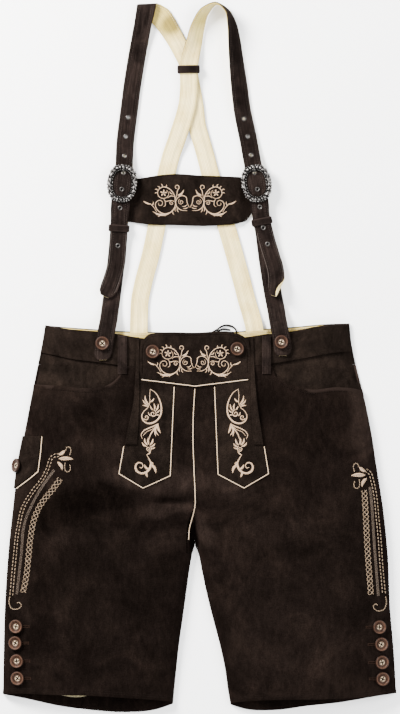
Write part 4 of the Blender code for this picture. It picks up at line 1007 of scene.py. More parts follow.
def build_back_waist():
    """The back waistband, flat on the surface, and the lining that shows over the front."""
    columns = np.linspace(-0.225, 0.218, 150)
    shares = np.linspace(0, 1, 16)[:, None]
    y = BACK_SEAM_Y + (back_waist(columns) - BACK_SEAM_Y) * shares
    x = columns + 0 * y
    x[:, 0], x[:, -1] = side_left(y[:, 0]), side_right(y[:, -1])
    grid = np.stack([x, y, LEATHER + 0 * y], -1)
    shell("back_waistband", grid, LEATHER, [TRIM, EDGE], ["waistband_back"])
    columns = np.linspace(-0.219, 0.212, 220)
    low, high = -0.004, back_waist(columns) - 0.0015
    y = low + (high - low) * np.linspace(0, 1, 26)[:, None]
    x = columns + 0 * y
    lump = np.zeros(y.shape)
    for centre in BRACE_ENDS:
        lump = np.maximum(lump, smooth_step((0.024 - np.abs(x - centre)) / 0.008))
    lump *= smooth_step((y - 0.010) / 0.009) * BRACE_LUMP
    z = LEATHER + GAP + STRAP_LINING + lump
    z += 0.00025 * soft_noise(x, y, 0.012, 5) + 0.0001
    grid = np.stack([x, y, z], -1)
    # Drawn in the darker copy of the lining: painted shade.
    shell("waist_lining", grid, STRAP_LINING, [LINING_HALF_SHADE],
          ["waistband_lining"], uv=np.stack([y, x], -1))
    line = np.stack([columns, high - 0.0022, z[-1]], -1)
    rows = [running(line, upward(line), 0.0022, 0.0009)]
    stitch_mesh("waist_lining_stitches", rows, CREAM_SEWING)


# ---------------------------------------------------------------- applied leather

FLAP_TOP = [
    (-87, 8), (-86, 18), (-82, 25), (-77, 31), (-72, 34), (-66, 35), (-7, 36),
    (51, 35.4), (58, 33.4), (66, 28), (72, 17), (73, 8),
]
# x, y of the flap's lower edge
FLAP_BOTTOM = [(-87, -32), (-7, -42), (73, -32)]
# y, inner x, outer x
TAB_EDGES = {
    -1: [(-30, -38, -91.4), (-70, -39.4, -95), (-102, -41, -102.5), (-125, -42, -107.5),
         (-187, -45, -118)],
    1: [(-30, 22.5, 77.6), (-70, 24, 81.6), (-105, 25.5, 87.4), (-125, 26, 91),
        (-187, 29, 101.5)],
}
# x, y of the inner corner, the point and the outer corner
TAB_POINTS = {
    -1: [(-44, -170), (-82, -187), (-115, -167)],
    1: [(28, -168), (64, -187), (98, -167)],
}
# y, inner x, outer x
PLACKET_EDGES = {
    -1: [(30, -87.8, -91.0), (-27, -87.4, -93.0), (-69, -87.6, -96.4), (-102, -89.0, -103.6),
         (-128, -91.0, -108.6)],
    1: [(30, 73.8, 77.4), (-36, 73.4, 80.2), (-79, 74.4, 84.6), (-107, 76.0, 89.0),
        (-128, 78.0, 92.0)],
}
PLACKET_TOP, PLACKET_BOTTOM = 0.029, -0.126
# y top, y bottom, inner x, outer x
BELT_LOOPS = {-1: (32, -24, -105.2, -118.5), 1: (31, -24, 90.2, 102.8)}
KNIFE_EDGE = [(-229, -114), (-235, -165)]
KNIFE_SEAM_Y = -0.190

flap_top = through(FLAP_TOP)
tab_inner = {side: through(rows, 1) for side, rows in TAB_EDGES.items()}
tab_outer = {side: through(rows, 2) for side, rows in TAB_EDGES.items()}
placket_edges = {
    side: [through(rows, column) for column in (1, 2)] for side, rows in PLACKET_EDGES.items()
}


def straight(points):
    """Straight runs between points in millimetres, as a function in metres."""
    table = np.array(sorted(points), float) * MM
    return lambda x: np.interp(x, table[:, 0], table[:, 1])


flap_bottom = straight(FLAP_BOTTOM)
tab_bottom = {side: straight(points) for side, points in TAB_POINTS.items()}


def crown(u, v, depth=0.0005):
    """A slight roundness that sinks toward the sewn edges, for shares u and v."""
    edge = np.minimum(np.minimum(u, 1 - u), np.minimum(v, 1 - v))
    return -depth * (1 - smooth_step(edge / 0.05))


def build_flap():
    u = from_turn(np.linspace(0, 1, 104))
    left, right = FLAP_BOTTOM[0][0] * MM, FLAP_BOTTOM[-1][0] * MM
    x = left + (right - left) * u
    v = np.linspace(0, 1, 46)[:, None]
    y = flap_bottom(x) + (flap_top(x) - flap_bottom(x)) * v
    lift = BAND_LIFT + crown(u + 0 * v, v + 0 * u, 0.0003)
    grid, _ = on_front(x + 0 * y, y, lift)
    shell("front_flap", grid, APPLIED, [TRIM, TRIM], ["flap"])


def edged_grid(inner, outer, low, high, columns, rows, lift, cap=None):
    """A piece of the front between an inner and an outer edge line."""
    share = np.linspace(0, 1, columns)
    v = np.linspace(0, 1, rows)[:, None]
    y = high + 0 * share * v
    for _ in range(8):
        x = inner(y) + (outer(y) - inner(y)) * share
        y = low(x) + (high - low(x)) * v
        if cap:
            y = np.minimum(y, cap(x) - GAP)
    grid, _ = on_front(x, y, lift(y))
    return grid


def loop_lift(share):
    """How far a belt loop stands off the front, at shares of its length."""
    return BAND_LIFT + 0.0014 * smooth_step(np.minimum(share, 1 - share) / 0.22)


def build_tabs():
    """The pointed tabs, the plackets over them and the belt loops, on both sides."""
    for side, word in SIDES:
        grid = edged_grid(tab_inner[side], tab_outer[side], tab_bottom[side], -0.0325,
                          44, 80, lambda y: BAND_LIFT + 0 * y, flap_bottom)
        shell("front_tab_" + word, grid, APPLIED, [TRIM, TRIM],
              ["flap_tab_" + word], flip=side < 0)
        grid = edged_grid(
            *placket_edges[side], lambda x: PLACKET_BOTTOM + 0 * x, PLACKET_TOP, 14, 90,
            lambda y: BAND_LIFT + (OVER_LIFT - BAND_LIFT) * smooth_step((-0.014 - y) / 0.016))
        shell("placket_" + word, grid, APPLIED, [TRIM, TRIM],
              ["fly_placket_" + word], flip=side < 0)
        top, bottom, near, far = np.array(BELT_LOOPS[side]) * MM
        grid = edged_grid(lambda y: near + 0 * y, lambda y: far + 0 * y,
                          lambda x: bottom + 0 * x, top, 14, 40,
                          lambda y: loop_lift((y - bottom) / (top - bottom)))
        shell("loop_" + word, grid, APPLIED, [STRAP, STRAP],
              ["belt_loop_" + word], flip=side < 0)


def knife_bottom(x):
    x0, x1 = KNIFE_EDGE[1][0] * MM, side_left(KNIFE_SEAM_Y)
    return np.interp(x, (x1, x0), (KNIFE_SEAM_Y, KNIFE_EDGE[1][1] * MM))


def build_knife_pocket():
    """The pocket that wraps over the left side seam."""
    (x0, y0), (x1, y1) = np.array(KNIFE_EDGE) * MM
    v, u = np.linspace(0, 1, 44)[:, None], np.linspace(0, 1, 40)
    y = y0 + 0 * u * v
    for _ in range(8):
        edge_x = x0 + (x1 - x0) * (y - y0) / (y1 - y0)
        start = front_turn(-1, edge_x, y)
        turns = start + (1 - start) * u
        x = front_point(-1, turns, y)[..., 0]
        low = knife_bottom(x)
        y = low + (y0 - low) * v
    grid = front_point(-1, turns, y) + front_normal(-1, turns, y) * BAND_LIFT
    shell("side_pocket", grid, APPLIED, [TRIM, TRIM], ["knife_pocket"], flip=True)


build_legs()
build_hem_lining()
build_back_waist()
build_flap()
build_tabs()
build_knife_pocket()


# ---------------------------------------------------------------- braces

HALF = 12.7
WIDE = 13.6                # pressed flat inside the buckles


def with_usual(tables, roll):
    """Rows of x, y, z, roll and half width; a row of three takes this roll and HALF."""
    return {
        side: [entry if len(entry) == 5 else (*entry, roll, HALF) for entry in rows]
        for side, rows in tables.items()
    }


# Middle line of each brace, from the front tail up to the shoulder.
BRACE_FRONT = with_usual({
    -1: [
        (-137.5, 88.5, 6.4, 0, 6.5), (-135.5, 93, 5.7, 0, 10.6), (-132.5, 99, 5.0, 0, 12.4),
        (-128.5, 109, 5.2), (-121.5, 133, 5.2), (-118.5, 163, 5.4), (-117.5, 177, 6.6),
        (-117, 187, 6.9), (-116.6, 193, 7.2), (-116.4, 199, 8.3), (-115.3, 218, 8.7, 0, WIDE),
        (-113.6, 236, 9.7, 0, WIDE), (-112.2, 252, 11.0, 0, WIDE), (-111.2, 261, 10.2, 0, WIDE),
        (-110.4, 268, 8.9, 0, WIDE), (-109.6, 278, 6.6), (-109, 292, 3.8), (-108, 312, 1.8),
        (-105.5, 334, 1.45), (-103, 353, 1.45), (-98, 392, 1.45), (-90.3, 440, 2.2),
        (-85.5, 466, 4.4), (-81.5, 487, 7.2), (-77.8, 506, 8.35),
    ],
    1: [
        (107.5, 89, 11.0, -34, 6.5), (109, 94.5, 10.0, -26, 10.6), (110.3, 101, 8.4, -16, 12.4),
        (111, 110, 6.6, -7, HALF), (109, 128, 5.3), (103.5, 147, 5.2), (98, 165, 5.4),
        (93.5, 182, 6.7), (90, 197, 6.9), (88.8, 204, 7.2), (88, 210, 8.3),
        (87, 218, 8.7, 0, WIDE), (84.5, 236, 9.7, 0, WIDE), (82, 252, 11.0, 0, WIDE),
        (80.4, 261, 10.2, 0, WIDE), (79, 268, 8.9, 0, WIDE), (77.2, 278, 6.6), (74.5, 293, 3.8),
        (71, 313, 2.0), (66.5, 334, 2.4, 4, HALF), (62.2, 354, 4.1, 12, HALF),
        (57, 393, 6.2, 22, HALF), (52.5, 431, 9.4, 37, HALF), (49.6, 460, 11.2, 48, HALF),
        (46, 484, 12.9, 62, HALF), (38.5, 503, 14.1, 80, HALF), (25, 512, 14.4, 90, HALF),
    ],
}, 0)
# Middle line of each brace from the shoulder down the back to the opposite hip.
BRACE_BACK = with_usual({
    -1: [
        (-71.5, 506.5, 1.75), (-61, 495, 1.75), (-50, 482, 1.75), (-38, 465, 1.8),
        (-26, 444, 2.5), (-18.8, 429, 3.3), (-16.2, 418, 3.35), (-14.8, 408, 3.2),
        (-11.6, 390, 1.9), (-7.4, 366, 1.75), (-3, 333, 1.75), (2, 315, 1.75), (8, 294, 1.75),
        (14.5, 269, 1.75), (38, 192, 1.75), (51, 147, 1.75), (62, 107, 1.75), (68.5, 82, 1.75),
        (75.5, 58, 2.0), (78.8, 44, 4.05), (80.2, 35, 4.05), (81, 24, 4.0),
    ],
    1: [
        (8, 501.5, 13.4, 116, HALF), (-2.5, 480, 10.8, 138, HALF), (-8, 457, 9.2, 150, HALF),
        (-12.4, 439, 8.2, 167, HALF), (-15.0, 425, 7.0, 179, HALF), (-15.8, 412, 7.0),
        (-15.8, 400, 6.5), (-15.9, 390, 5.7), (-17.5, 370, 5.25), (-21.5, 352, 5.25),
        (-27.5, 333, 5.25), (-33.5, 315, 4.0), (-41, 294, 1.9), (-47.5, 269, 1.75),
        (-62, 192, 1.75), (-71.5, 147, 1.75), (-82, 107, 1.75), (-86.8, 82, 1.75),
        (-88, 58, 2.0), (-88.3, 44, 4.05), (-88.3, 35, 4.05), (-88, 24, 4.0),
    ],
}, 180)
# x, y, half width; these rows take their height from the waistband
LOWER_ON_BAND = {
    -1: [(-140, -3.6, 6), (-140.2, 0, 10.3), (-140.3, 6, HALF), (-138, 21, HALF),
         (-135, 38, HALF)],
    1: [(120, 2.4, 6), (120, 6, 10.3), (119.8, 12, HALF), (118.8, 24, HALF), (116, 38, HALF)],
}
# x, y, z
LOWER_FREE = {
    -1: [
        (-132, 54, 9.6), (-129.8, 70, 4.0), (-127.6, 86, 1.8), (-122.5, 127, 1.65),
        (-119, 161, 1.7), (-117.6, 178, 3.05), (-117, 187, 3.1), (-116.7, 192.5, 3.15),
        (-116.4, 198, 4.5), (-115.3, 218, 4.8), (-113.6, 236, 6.1), (-112.8, 246, 6.85),
        (-112.2, 252, 6.95),
    ],
    1: [
        (113, 54, 9.6), (110.5, 70, 4.0), (107, 88, 1.7), (100.5, 127, 1.65),
        (95.5, 163, 1.7), (92.6, 185, 3.05), (90, 197, 3.1), (88.8, 204.5, 3.2),
        (88, 210, 4.6), (87, 218, 4.8), (84.5, 236, 6.1), (83, 246, 6.85),
        (82, 252, 6.95),
    ],
}
BAR_HEIGHT, RING_HEIGHT = 0.0058, 0.0134    # of the buckles, above the surface
# bar x, bar y, turn of the buckle in degrees
BUCKLES = {-1: (-112.2, 252, -5.5), 1: (82, 252, 9.5)}
FOLD_RADIUS = 0.0033
LINING_STOP = 0.236             # where the lower braces' lining ends, short of the bar
EYELET_YS = {
    -1: (348, 320, 292, 267.5, 244, 217, 162), 1: (346, 320, 293, 267.5, 244, 218, 188, 165),
}


def smooth_rows(rows, count):
    """Even points along a smooth line through rows of equal length."""
    table = np.array(rows, dtype=float)
    runs = np.hypot(*np.diff(table[:, :2], axis=0).T) + np.abs(np.diff(table[:, 2]))
    along = np.concatenate(([0.0], np.cumsum(runs)))
    places = np.linspace(0, along[-1], count)
    return np.array([hermite(places, along, column) for column in table.T]).T


def smooth_path(points, count=160):
    """The same through x, y."""
    return smooth_rows([(x, y, 0) for x, y in points], count)[:, :2]


def stations(rows, count=240):
    """Centres, width directions and half widths along a band."""
    table = smooth_rows(rows, count)
    travel = np.gradient(table[:, :2], axis=0)
    travel /= np.linalg.norm(travel, axis=1, keepdims=True)
    angle = np.radians(table[:, 3])
    width = np.stack([
        travel[:, 1] * np.cos(angle), -travel[:, 0] * np.cos(angle), -np.sin(angle),
    ], -1)
    return [table[:, :3] * MM, width, table[:, 4] * MM]


def joined(*lines):
    return [np.concatenate(parts) for parts in zip(*lines)]


def part_of(line, which):
    """The stations of a line that a slice or a mask picks."""
    return [values[which] for values in line]


def fold_over(start, travel, axis, radius, steps=16):
    """Stations, parallel to the fold, where a flat band folds over round a level axis."""
    across_fold = np.array((-axis[1], axis[0], 0))
    lean = math.atan2(travel @ axis, travel @ across_fold)
    turn = math.pi * np.arange(steps + 1) / steps
    out = across_fold * np.sin(turn)[:, None] + np.array((0, 0, 1)) * np.cos(turn)[:, None]
    places = (
        start - np.array((0, 0, radius)) + out * radius
        + axis * (math.tan(lean) * radius * turn)[:, None]
    )
    half = np.full(steps + 1, STRAP_WIDTH / 2 / math.cos(lean))
    return [places, np.tile(axis, (steps + 1, 1)), half]


def brace_line(side):
    if side > 0:
        return stations(BRACE_FRONT[side] + BRACE_BACK[side], 520)
    front, back = stations(BRACE_FRONT[side]), stations(BRACE_BACK[side])
    start = front[0][-1]
    travel, leaving = front[0][-1] - front[0][-4], back[0][4] - back[0][0]
    travel[2] = leaving[2] = 0
    travel, leaving = unit(travel), unit(leaving)
    fold = fold_over(start, travel, unit(travel + leaving), FOLD_RADIUS)
    return joined(part_of(front, slice(-6)), fold, part_of(back, slice(8, None)))


def lower_line(side):
    rows = []
    for x, y, half in LOWER_ON_BAND[side]:
        place, _ = on_front(x * MM, y * MM, LAY + STRAP_STACK / 2)
        rows.append((x, y, place[2] / MM, 0, half))
    rows += [(x, y, z, 0, HALF) for x, y, z in LOWER_FREE[side]]
    return stations(rows)


def round_the_bar(line, side):
    """The dark leather goes on over the bar and back beneath it."""
    width = line[1][-1]
    forward = np.array((-width[1], width[0], 0))
    x, y, _ = BUCKLES[side]
    bar = np.array((x * MM, y * MM, BAR_HEIGHT))
    radius = line[0][-1][2] - BAR_HEIGHT
    turn = math.pi * np.arange(1, 13) / 12
    places = (
        bar + forward * radius * np.sin(turn)[:, None]
        + np.array((0, 0, radius)) * np.cos(turn)[:, None]
    )
    places = np.concatenate((places, [places[-1] - forward * 0.005, places[-1] - forward * 0.010]))
    count = len(places)
    return joined(line, [places, np.tile(width, (count, 1)), np.full(count, STRAP_WIDTH / 2)])


def band_up(line):
    """The way the front face of each station looks."""
    return unit(np.cross(line[1], np.gradient(line[0], axis=0)))


# How the left brace swings as it turns over the shoulder, in millimetres: the fold is
# drawn level, and the outer edge of the lining bows out, by its distance past the fold.
FOLD_EDGE, BOW_WAY = (-63.4, 513.0), (0.73, 0.68)
BOW = [(-6, 0), (0, 0.6), (6, 3.4), (14.5, 5.2), (25, 4.8), (37, 3.4), (51, 1.2), (62, 0)]


def swing(points):
    """Points of the left brace, moved where it turns over the shoulder."""
    x, y = points[..., 0] / MM, points[..., 1] / MM
    (x0, y0), (u, v) = FOLD_EDGE, BOW_WAY
    along = (x - x0) * v - (y - y0) * u
    inward = (x - x0) * u + (y - y0) * v
    bow = np.interp(along, *np.array(BOW).T) * smooth_step((inward + 25) / 25)
    level = 4.4 - 6.4 * np.clip((x + 89.5) / 26, 0, 1)
    level = level * smooth_step((y - 482) / 22) * smooth_step((-52 - x) / 12)
    near = (x < 0) & (y > 440)
    moved = points.copy()
    moved[..., 0] += near * bow * u * MM
    moved[..., 1] += near * (bow * v + level) * MM
    return moved


# Where the right tail's corner curls up: a point on the bend, its way out, its radius.
# The corner of the right tail that turns up: a place on the line where the turn begins,
# the way out across it, the radius in millimetres and the most that it turns.
CURL_AT = (105.7, 87.9)
CURL_OUT = (0.897, -0.442)
CURL_RADIUS = 3.2
CURL_MOST = 2.9
# Only the tail turns, and not the lower brace beneath it.
CURL_LEFT, CURL_BELOW, CURL_ABOVE, CURL_UNDER = 0.09, 0.079, 0.128, 0.0046


def curl(points, ups):
    """Points midway in the right tail and their up directions, bent up at its corner."""
    out = np.array((*CURL_OUT, 0.0))
    radius = CURL_RADIUS * MM
    past = ((points - np.array((*CURL_AT, 0.0)) * MM) @ out) / radius
    x, y, z = np.moveaxis(points, -1, 0)
    tail = (x > CURL_LEFT) & (y > CURL_BELOW) & (y < CURL_ABOVE) & (z > CURL_UNDER)
    turn = np.where(tail, np.clip(past, 0.0, CURL_MOST), 0.0)[..., None]
    moved = points + out * radius * (np.sin(turn) - turn)
    moved = moved + np.array((0, 0, 1.0)) * radius * (1 - np.cos(turn))
    return moved, unit(ups * np.cos(turn) - out * np.sin(turn))


def band_grid(line, high, columns=12, sink=0.0003):
    """The face of a layer of a strap, high above its middle line, and its UVs."""
    place, width, half = line
    across = np.sin(np.linspace(-math.pi / 2, math.pi / 2, columns))
    drop = high - sink * np.sign(high) * np.abs(across) ** 6
    middle = place[:, None] + width[:, None] * (half[:, None] * across)[..., None]
    middle, up = curl(middle, np.broadcast_to(band_up(line)[:, None], middle.shape))
    grid = swing(middle + up * drop[None, :, None])
    along = arc_length(place)[:, None] + 0 * across
    return grid, np.stack([half[:, None] * across, along], -1)


def band_line(line, offset, high):
    """Points and normals along a strap, offset metres from its middle, on its face."""
    place, width, half = line
    up = band_up(line)
    reach = np.clip(offset, -half + 0.002, half - 0.002)[:, None]
    middle, up = curl(place + width * reach, up)
    return swing(middle + up * high), up * np.sign(high)


def band_stitches(line, high, inset=0.0024, start=0.004, stop=0.004, **size):
    """Two rows of stitches along the edges of a strap."""
    along = arc_length(line[0])
    keep = (along > start) & (along < along[-1] - stop)
    line = part_of(line, keep)
    rows = []
    for sign in (-1, 1):
        rows.append(running(*band_line(line, sign * (STRAP_WIDTH / 2 - inset), high), **size))
    return rows


def under_face(line):
    """The stations of a lining, drawn in where the dark face lies on top of it."""
    shown = smooth_step(band_up(line)[:, 2] / 0.5)
    return [line[0], line[1], line[2] - 0.0008 * shown]


FACE_TOP = GAP / 2 + STRAP_FACE
LINING_TOP = -GAP / 2 - STRAP_LINING
SILVER_HOLES = []           # place, up direction of every eyelet


def build_braces():
    dark_rows, pale_rows = [], []
    for side, word in SIDES:
        line = brace_line(side)
        front = stations(BRACE_FRONT[side], 480)
        up = band_up(front)
        holes = []
        for y in EYELET_YS[side]:
            k = int(np.argmin(np.abs(front[0][:, 1] - y * MM)))
            holes.append((Vector(front[0][k]), EYELET_HOLE))
            SILVER_HOLES.append((front[0][k] + up[k] * FACE_TOP, up[k]))
        grid, uv = band_grid(line, FACE_TOP)
        shell("brace_" + word, grid, STRAP_FACE, [STRAP, EDGE],
              ["strap_" + word], uv=uv, holes=holes)
        grid, uv = band_grid(under_face(line), LINING_TOP)
        shell("brace_lining_" + word, grid, STRAP_LINING, [LINING, LINING],
              ["strap_lining_" + word], flip=True, uv=uv, holes=holes)
        for inset in (0.0022, 0.0050):
            dark_rows += band_stitches(line, FACE_TOP, inset, length=0.0024, gap=0.0011)
        shown = band_up(line)[:, 2] < -0.2
        pale_rows += band_stitches(part_of(line, shown), LINING_TOP, length=0.0024, gap=0.0011)
        lower = lower_line(side)
        grid, uv = band_grid(round_the_bar(lower, side), FACE_TOP)
        shell("lower_brace_" + word, grid, STRAP_FACE, [STRAP, EDGE],
              ["strap_lower_" + word], uv=uv)
        short = part_of(lower, lower[0][:, 1] < LINING_STOP)
        grid, uv = band_grid(under_face(short), LINING_TOP)
        shell("lower_brace_lining_" + word, grid, STRAP_LINING, [LINING, LINING],
              ["strap_lower_lining_" + word], flip=True, uv=uv)
        for inset in (0.0022, 0.0050):
            dark_rows += band_stitches(lower, FACE_TOP, inset, 0.006, length=0.0024, gap=0.0011)
    stitch_mesh("brace_stitches", dark_rows, STRAP_SEWING)
    edges = []
    for side in (-1, 1):
        line = stations(BRACE_FRONT[side], 480)
        y = line[0][:, 1]
        for sign in (-1, 1):
            # Painted highlight: a pale thread line along the tail's cut edges, where they catch
            # the light.
            lightened = band_line(part_of(line, (y > 0.098) & (y < 0.184)), sign * 0.0124,
                               FACE_TOP - 0.00015)
            edges.append(running(*lightened, 0.0020, 0.0, 0.00030, 0.00022))
    stitch_mesh("tail_edge_highlights", edges, TAIL_EDGE_HIGHLIGHT)
    stitch_mesh("brace_lining_stitches", pale_rows, CREAM_SEWING)


def spun(name, profile, segments=64):
    """A lathe form round +Z. profile is (radius, height) in metres, with its UVs beside it."""
    profile = np.asarray(profile, float)
    angles = np.linspace(0, 2 * math.pi, segments, endpoint=False)
    radius, height = profile.T[:, None]
    angles = angles[:, None]
    ring = np.stack(np.broadcast_arrays(
        radius * np.cos(angles), radius * np.sin(angles), height), -1)
    index = np.arange(ring[..., 0].size).reshape(segments, -1)
    after = np.roll(index, -1, axis=0)
    faces = quads(index[:, :-1], after[:, :-1], after[:, 1:], index[:, 1:])
    uv = np.stack(np.broadcast_arrays(radius / radius.max(), angles), -1)
    return face_outward(mesh_from(name, ring, faces.tolist(), uv), 0.00001)


def frame_at(place, up):
    turn = Vector(up).to_track_quat("Z", "Y").to_matrix().to_4x4()
    return Matrix.Translation(Vector(place)) @ turn


def joined_copies(name, mesh, places):
    """One mesh made of copies of another at these matrices."""
    work = bmesh.new()
    for place in places:
        copy = mesh.copy()
        copy.transform(place)
        work.from_mesh(copy)
        bpy.data.meshes.remove(copy)
    made = bpy.data.meshes.new(name)
    work.to_mesh(made)
    work.free()
    smooth_faces(made)
    return made


def build_eyelets():
    """Rolled rims with a short barrel, in every hole of the braces."""
    inner, outer, high, deep = 0.00185, 0.0034, 0.00055, -0.0026
    angle = np.linspace(0, math.pi, 9)
    middle, reach = (inner + outer) / 2, (outer - inner) / 2
    rim = [(middle - reach * math.cos(a), high * math.sin(a)) for a in angle]
    lip, wall = -0.0002, 0.00022
    profile = [(inner + 0.0001, deep), (inner, lip)] + rim + [(outer, lip)]
    profile += [(inner + wall, lip), (inner + wall, deep), (inner + 0.0001, deep)]
    ring = spun("eyelet", profile, 40)
    mesh = joined_copies("eyelets", ring, [frame_at(*place) for place in SILVER_HOLES])
    add_piece("eyelets", mesh, [NICKEL])


build_braces()
build_eyelets()


# ---------------------------------------------------------------- chest strap, keepers

# x, y
CHEST_TOP = [(-127, 256), (-91, 259), (-60, 264), (-31, 266), (-1, 264), (50, 262), (84, 260)]
CHEST_BOTTOM = [
    (-127, 199), (-104, 197), (-72, 193), (-31, 192), (-1, 191), (30, 192), (60, 196),
    (69, 200), (75, 209), (84, 211),
]
OVER_BRACES = 0.0034
PINKING = (0.0029, 0.0011)      # pitch and depth of the pinked teeth

chest_top, chest_bottom = through(CHEST_TOP), through(CHEST_BOTTOM)


def chest_height(x, y):
    """Its outer face: flat at the ends, raised where it crosses both braces."""
    left, right = smooth_step((x + 0.096) / 0.016), smooth_step((0.068 - x) / 0.012)
    soft = 0.0005 * soft_noise(x, y, 0.022, 11) * np.minimum(left, right)
    return CHEST_LEATHER + OVER_BRACES * np.minimum(left, right) + soft


def on_chest(x, y, lift=0.0):
    x, y = np.broadcast_arrays(np.asarray(x, float), np.asarray(y, float))
    z, step = chest_height(x, y), 0.001
    slope_x = (chest_height(x + step, y) - z) / step
    slope_y = (chest_height(x, y + step) - z) / step
    normal = unit(np.stack([-slope_x, -slope_y, np.ones_like(z)], -1))
    return np.stack([x, y, z], -1) + normal * np.asarray(lift)[..., None], normal


def build_chest_strap():
    """The strap over both braces, with a pinked lower edge and its sewing."""
    pitch, depth = PINKING
    x = np.arange(-0.127, 0.0841, pitch / 2)
    low, high = chest_bottom(x), chest_top(x)
    low = low - depth * (np.arange(len(x)) % 2)
    inner_low = chest_bottom(x) + 0.0010
    v = np.linspace(0, 1, 34)[:, None]
    y = np.concatenate(([low], inner_low + (high - inner_low) * v))
    x = x + 0 * y
    z = chest_height(x, y)
    shell("chest_band", np.stack([x, y, z], -1), CHEST_LEATHER, [TRIM, EDGE],
          ["chest_strap"])
    columns = np.linspace(-0.097, 0.070, 170)
    rows = []
    for line in (chest_top(columns) - 0.0040, chest_bottom(columns) + 0.0048):
        rows.append(running(*on_chest(columns, line), length=0.0026, gap=0.0012))
    stitch_mesh("chest_stitches", rows, SEWING)


# centre x, y, turn in degrees, inside width, inside height, length
KEEPERS = {
    "left": (-117.0, 187.2, -3.5, 27.6, 8.1, 10),
    "right": (90.0, 197.0, 11, 27.6, 8.1, 10),
    "crossing": (-16.2, 417.5, 1, 30.0, 8.2, 11.6),
}


def rounded_box(half, tall, corner, steps=5):
    """Outline of a box with round corners round its own middle."""
    made = []
    for k, (u, v) in enumerate(((half, tall), (-half, tall), (-half, -tall), (half, -tall))):
        centre = np.array((u - math.copysign(corner, u), v - math.copysign(corner, v)))
        for angle in np.linspace(k * 90, k * 90 + 90, steps):
            a = math.radians(angle)
            made.append(centre + corner * np.array((math.cos(a), math.sin(a))))
    return np.array(made)


def turned_place(x, y, z, turn):
    """The matrix to a place, turned by degrees about its upright line."""
    return Matrix.Translation((x, y, z)) @ Matrix.Rotation(math.radians(turn), 4, "Z")


def build_keepers():
    """Bands of leather round the straps, sewn along both edges."""
    wall, corner = KEEPER_WALL, 0.0014
    rows = []
    for word, (x, y, turn, width, height, length) in KEEPERS.items():
        inside = rounded_box(width / 2 * MM, height / 2 * MM, corner)
        outside = rounded_box(width / 2 * MM + wall, height / 2 * MM + wall, corner + wall)
        shares = np.linspace(-0.5, 0.5, 9)
        loops = []
        for ring, pull, order in ((outside, 0.07, 1), (inside, 0.0, -1)):
            for share in shares[::order]:
                pulled = ring * (1 - pull * (abs(share) > 0.49))
                loops.append(np.insert(pulled, 1, share * length * MM, axis=1))
        grid = np.array(loops)
        index = np.arange(grid[..., 0].size).reshape(len(loops), -1)
        index = np.concatenate((index, index[:1]))
        after = np.roll(index, -1, axis=1)
        faces = quads(index[:-1], index[1:], after[1:], after[:-1])
        mesh = face_outward(mesh_from("band_" + word, grid, faces.tolist()))
        lift = wall + height / 2 * MM
        place = turned_place(x * MM, y * MM, lift, turn)
        mesh.transform(place)
        add_piece("band_" + word, mesh, [STRAP], ["keeper_" + word])
        for end in (-1, 1):
            line = resample(np.array([
                place @ Vector((u * MM, end * (length / 2 - 1.7) * MM, 0))
                for u in (-width / 2, width / 2)
            ]), 0.001)
            line[:, 2] = lift + wall - 0.00005
            rows.append(running(line, upward(line), length=0.0022, gap=0.0010))
    stitch_mesh("keeper_stitches", rows, SEWING)


# ---------------------------------------------------------------- buckles

BUCKLE_OUTER = (0.0214, 0.0274)
BUCKLE_INNER = (0.0136, 0.0190)
BUCKLE_SQUARE = 2.35        # 2 would be an ellipse
BAR_REACH = 0.0176
# share from the inner to the outer edge, height in millimetres
BUCKLE_SECTION = [
    (0.02, -1.2), (0.00, -0.3), (0.02, 0.2), (0.06, 0.5), (0.11, 0.7), (0.16, 0.7), (0.21, 0.6),
    (0.27, 0.6), (0.34, 0.8), (0.41, 1.0), (0.48, 1.1), (0.55, 1.1), (0.62, 1.1), (0.69, 1.0),
    (0.75, 0.9), (0.81, 0.8), (0.86, 0.7), (0.91, 0.5), (0.96, 0.2), (1.00, -0.4), (0.94, -1.2),
    (0.50, -1.3),
]
PETALS, BEADS, RIM_BEADS = 18, 34, 38
RING_STEPS = 528


def buckle_place(side):
    """From a buckle's own lines, with its bar across the middle, to its place."""
    x, y, turn = BUCKLES[side]
    return turned_place(x * MM, y * MM, 0, turn)


def between(share, low, high):
    """A rounded bump from low to high."""
    return np.sin(math.pi * np.clip((share - low) / (high - low), 0, 1))


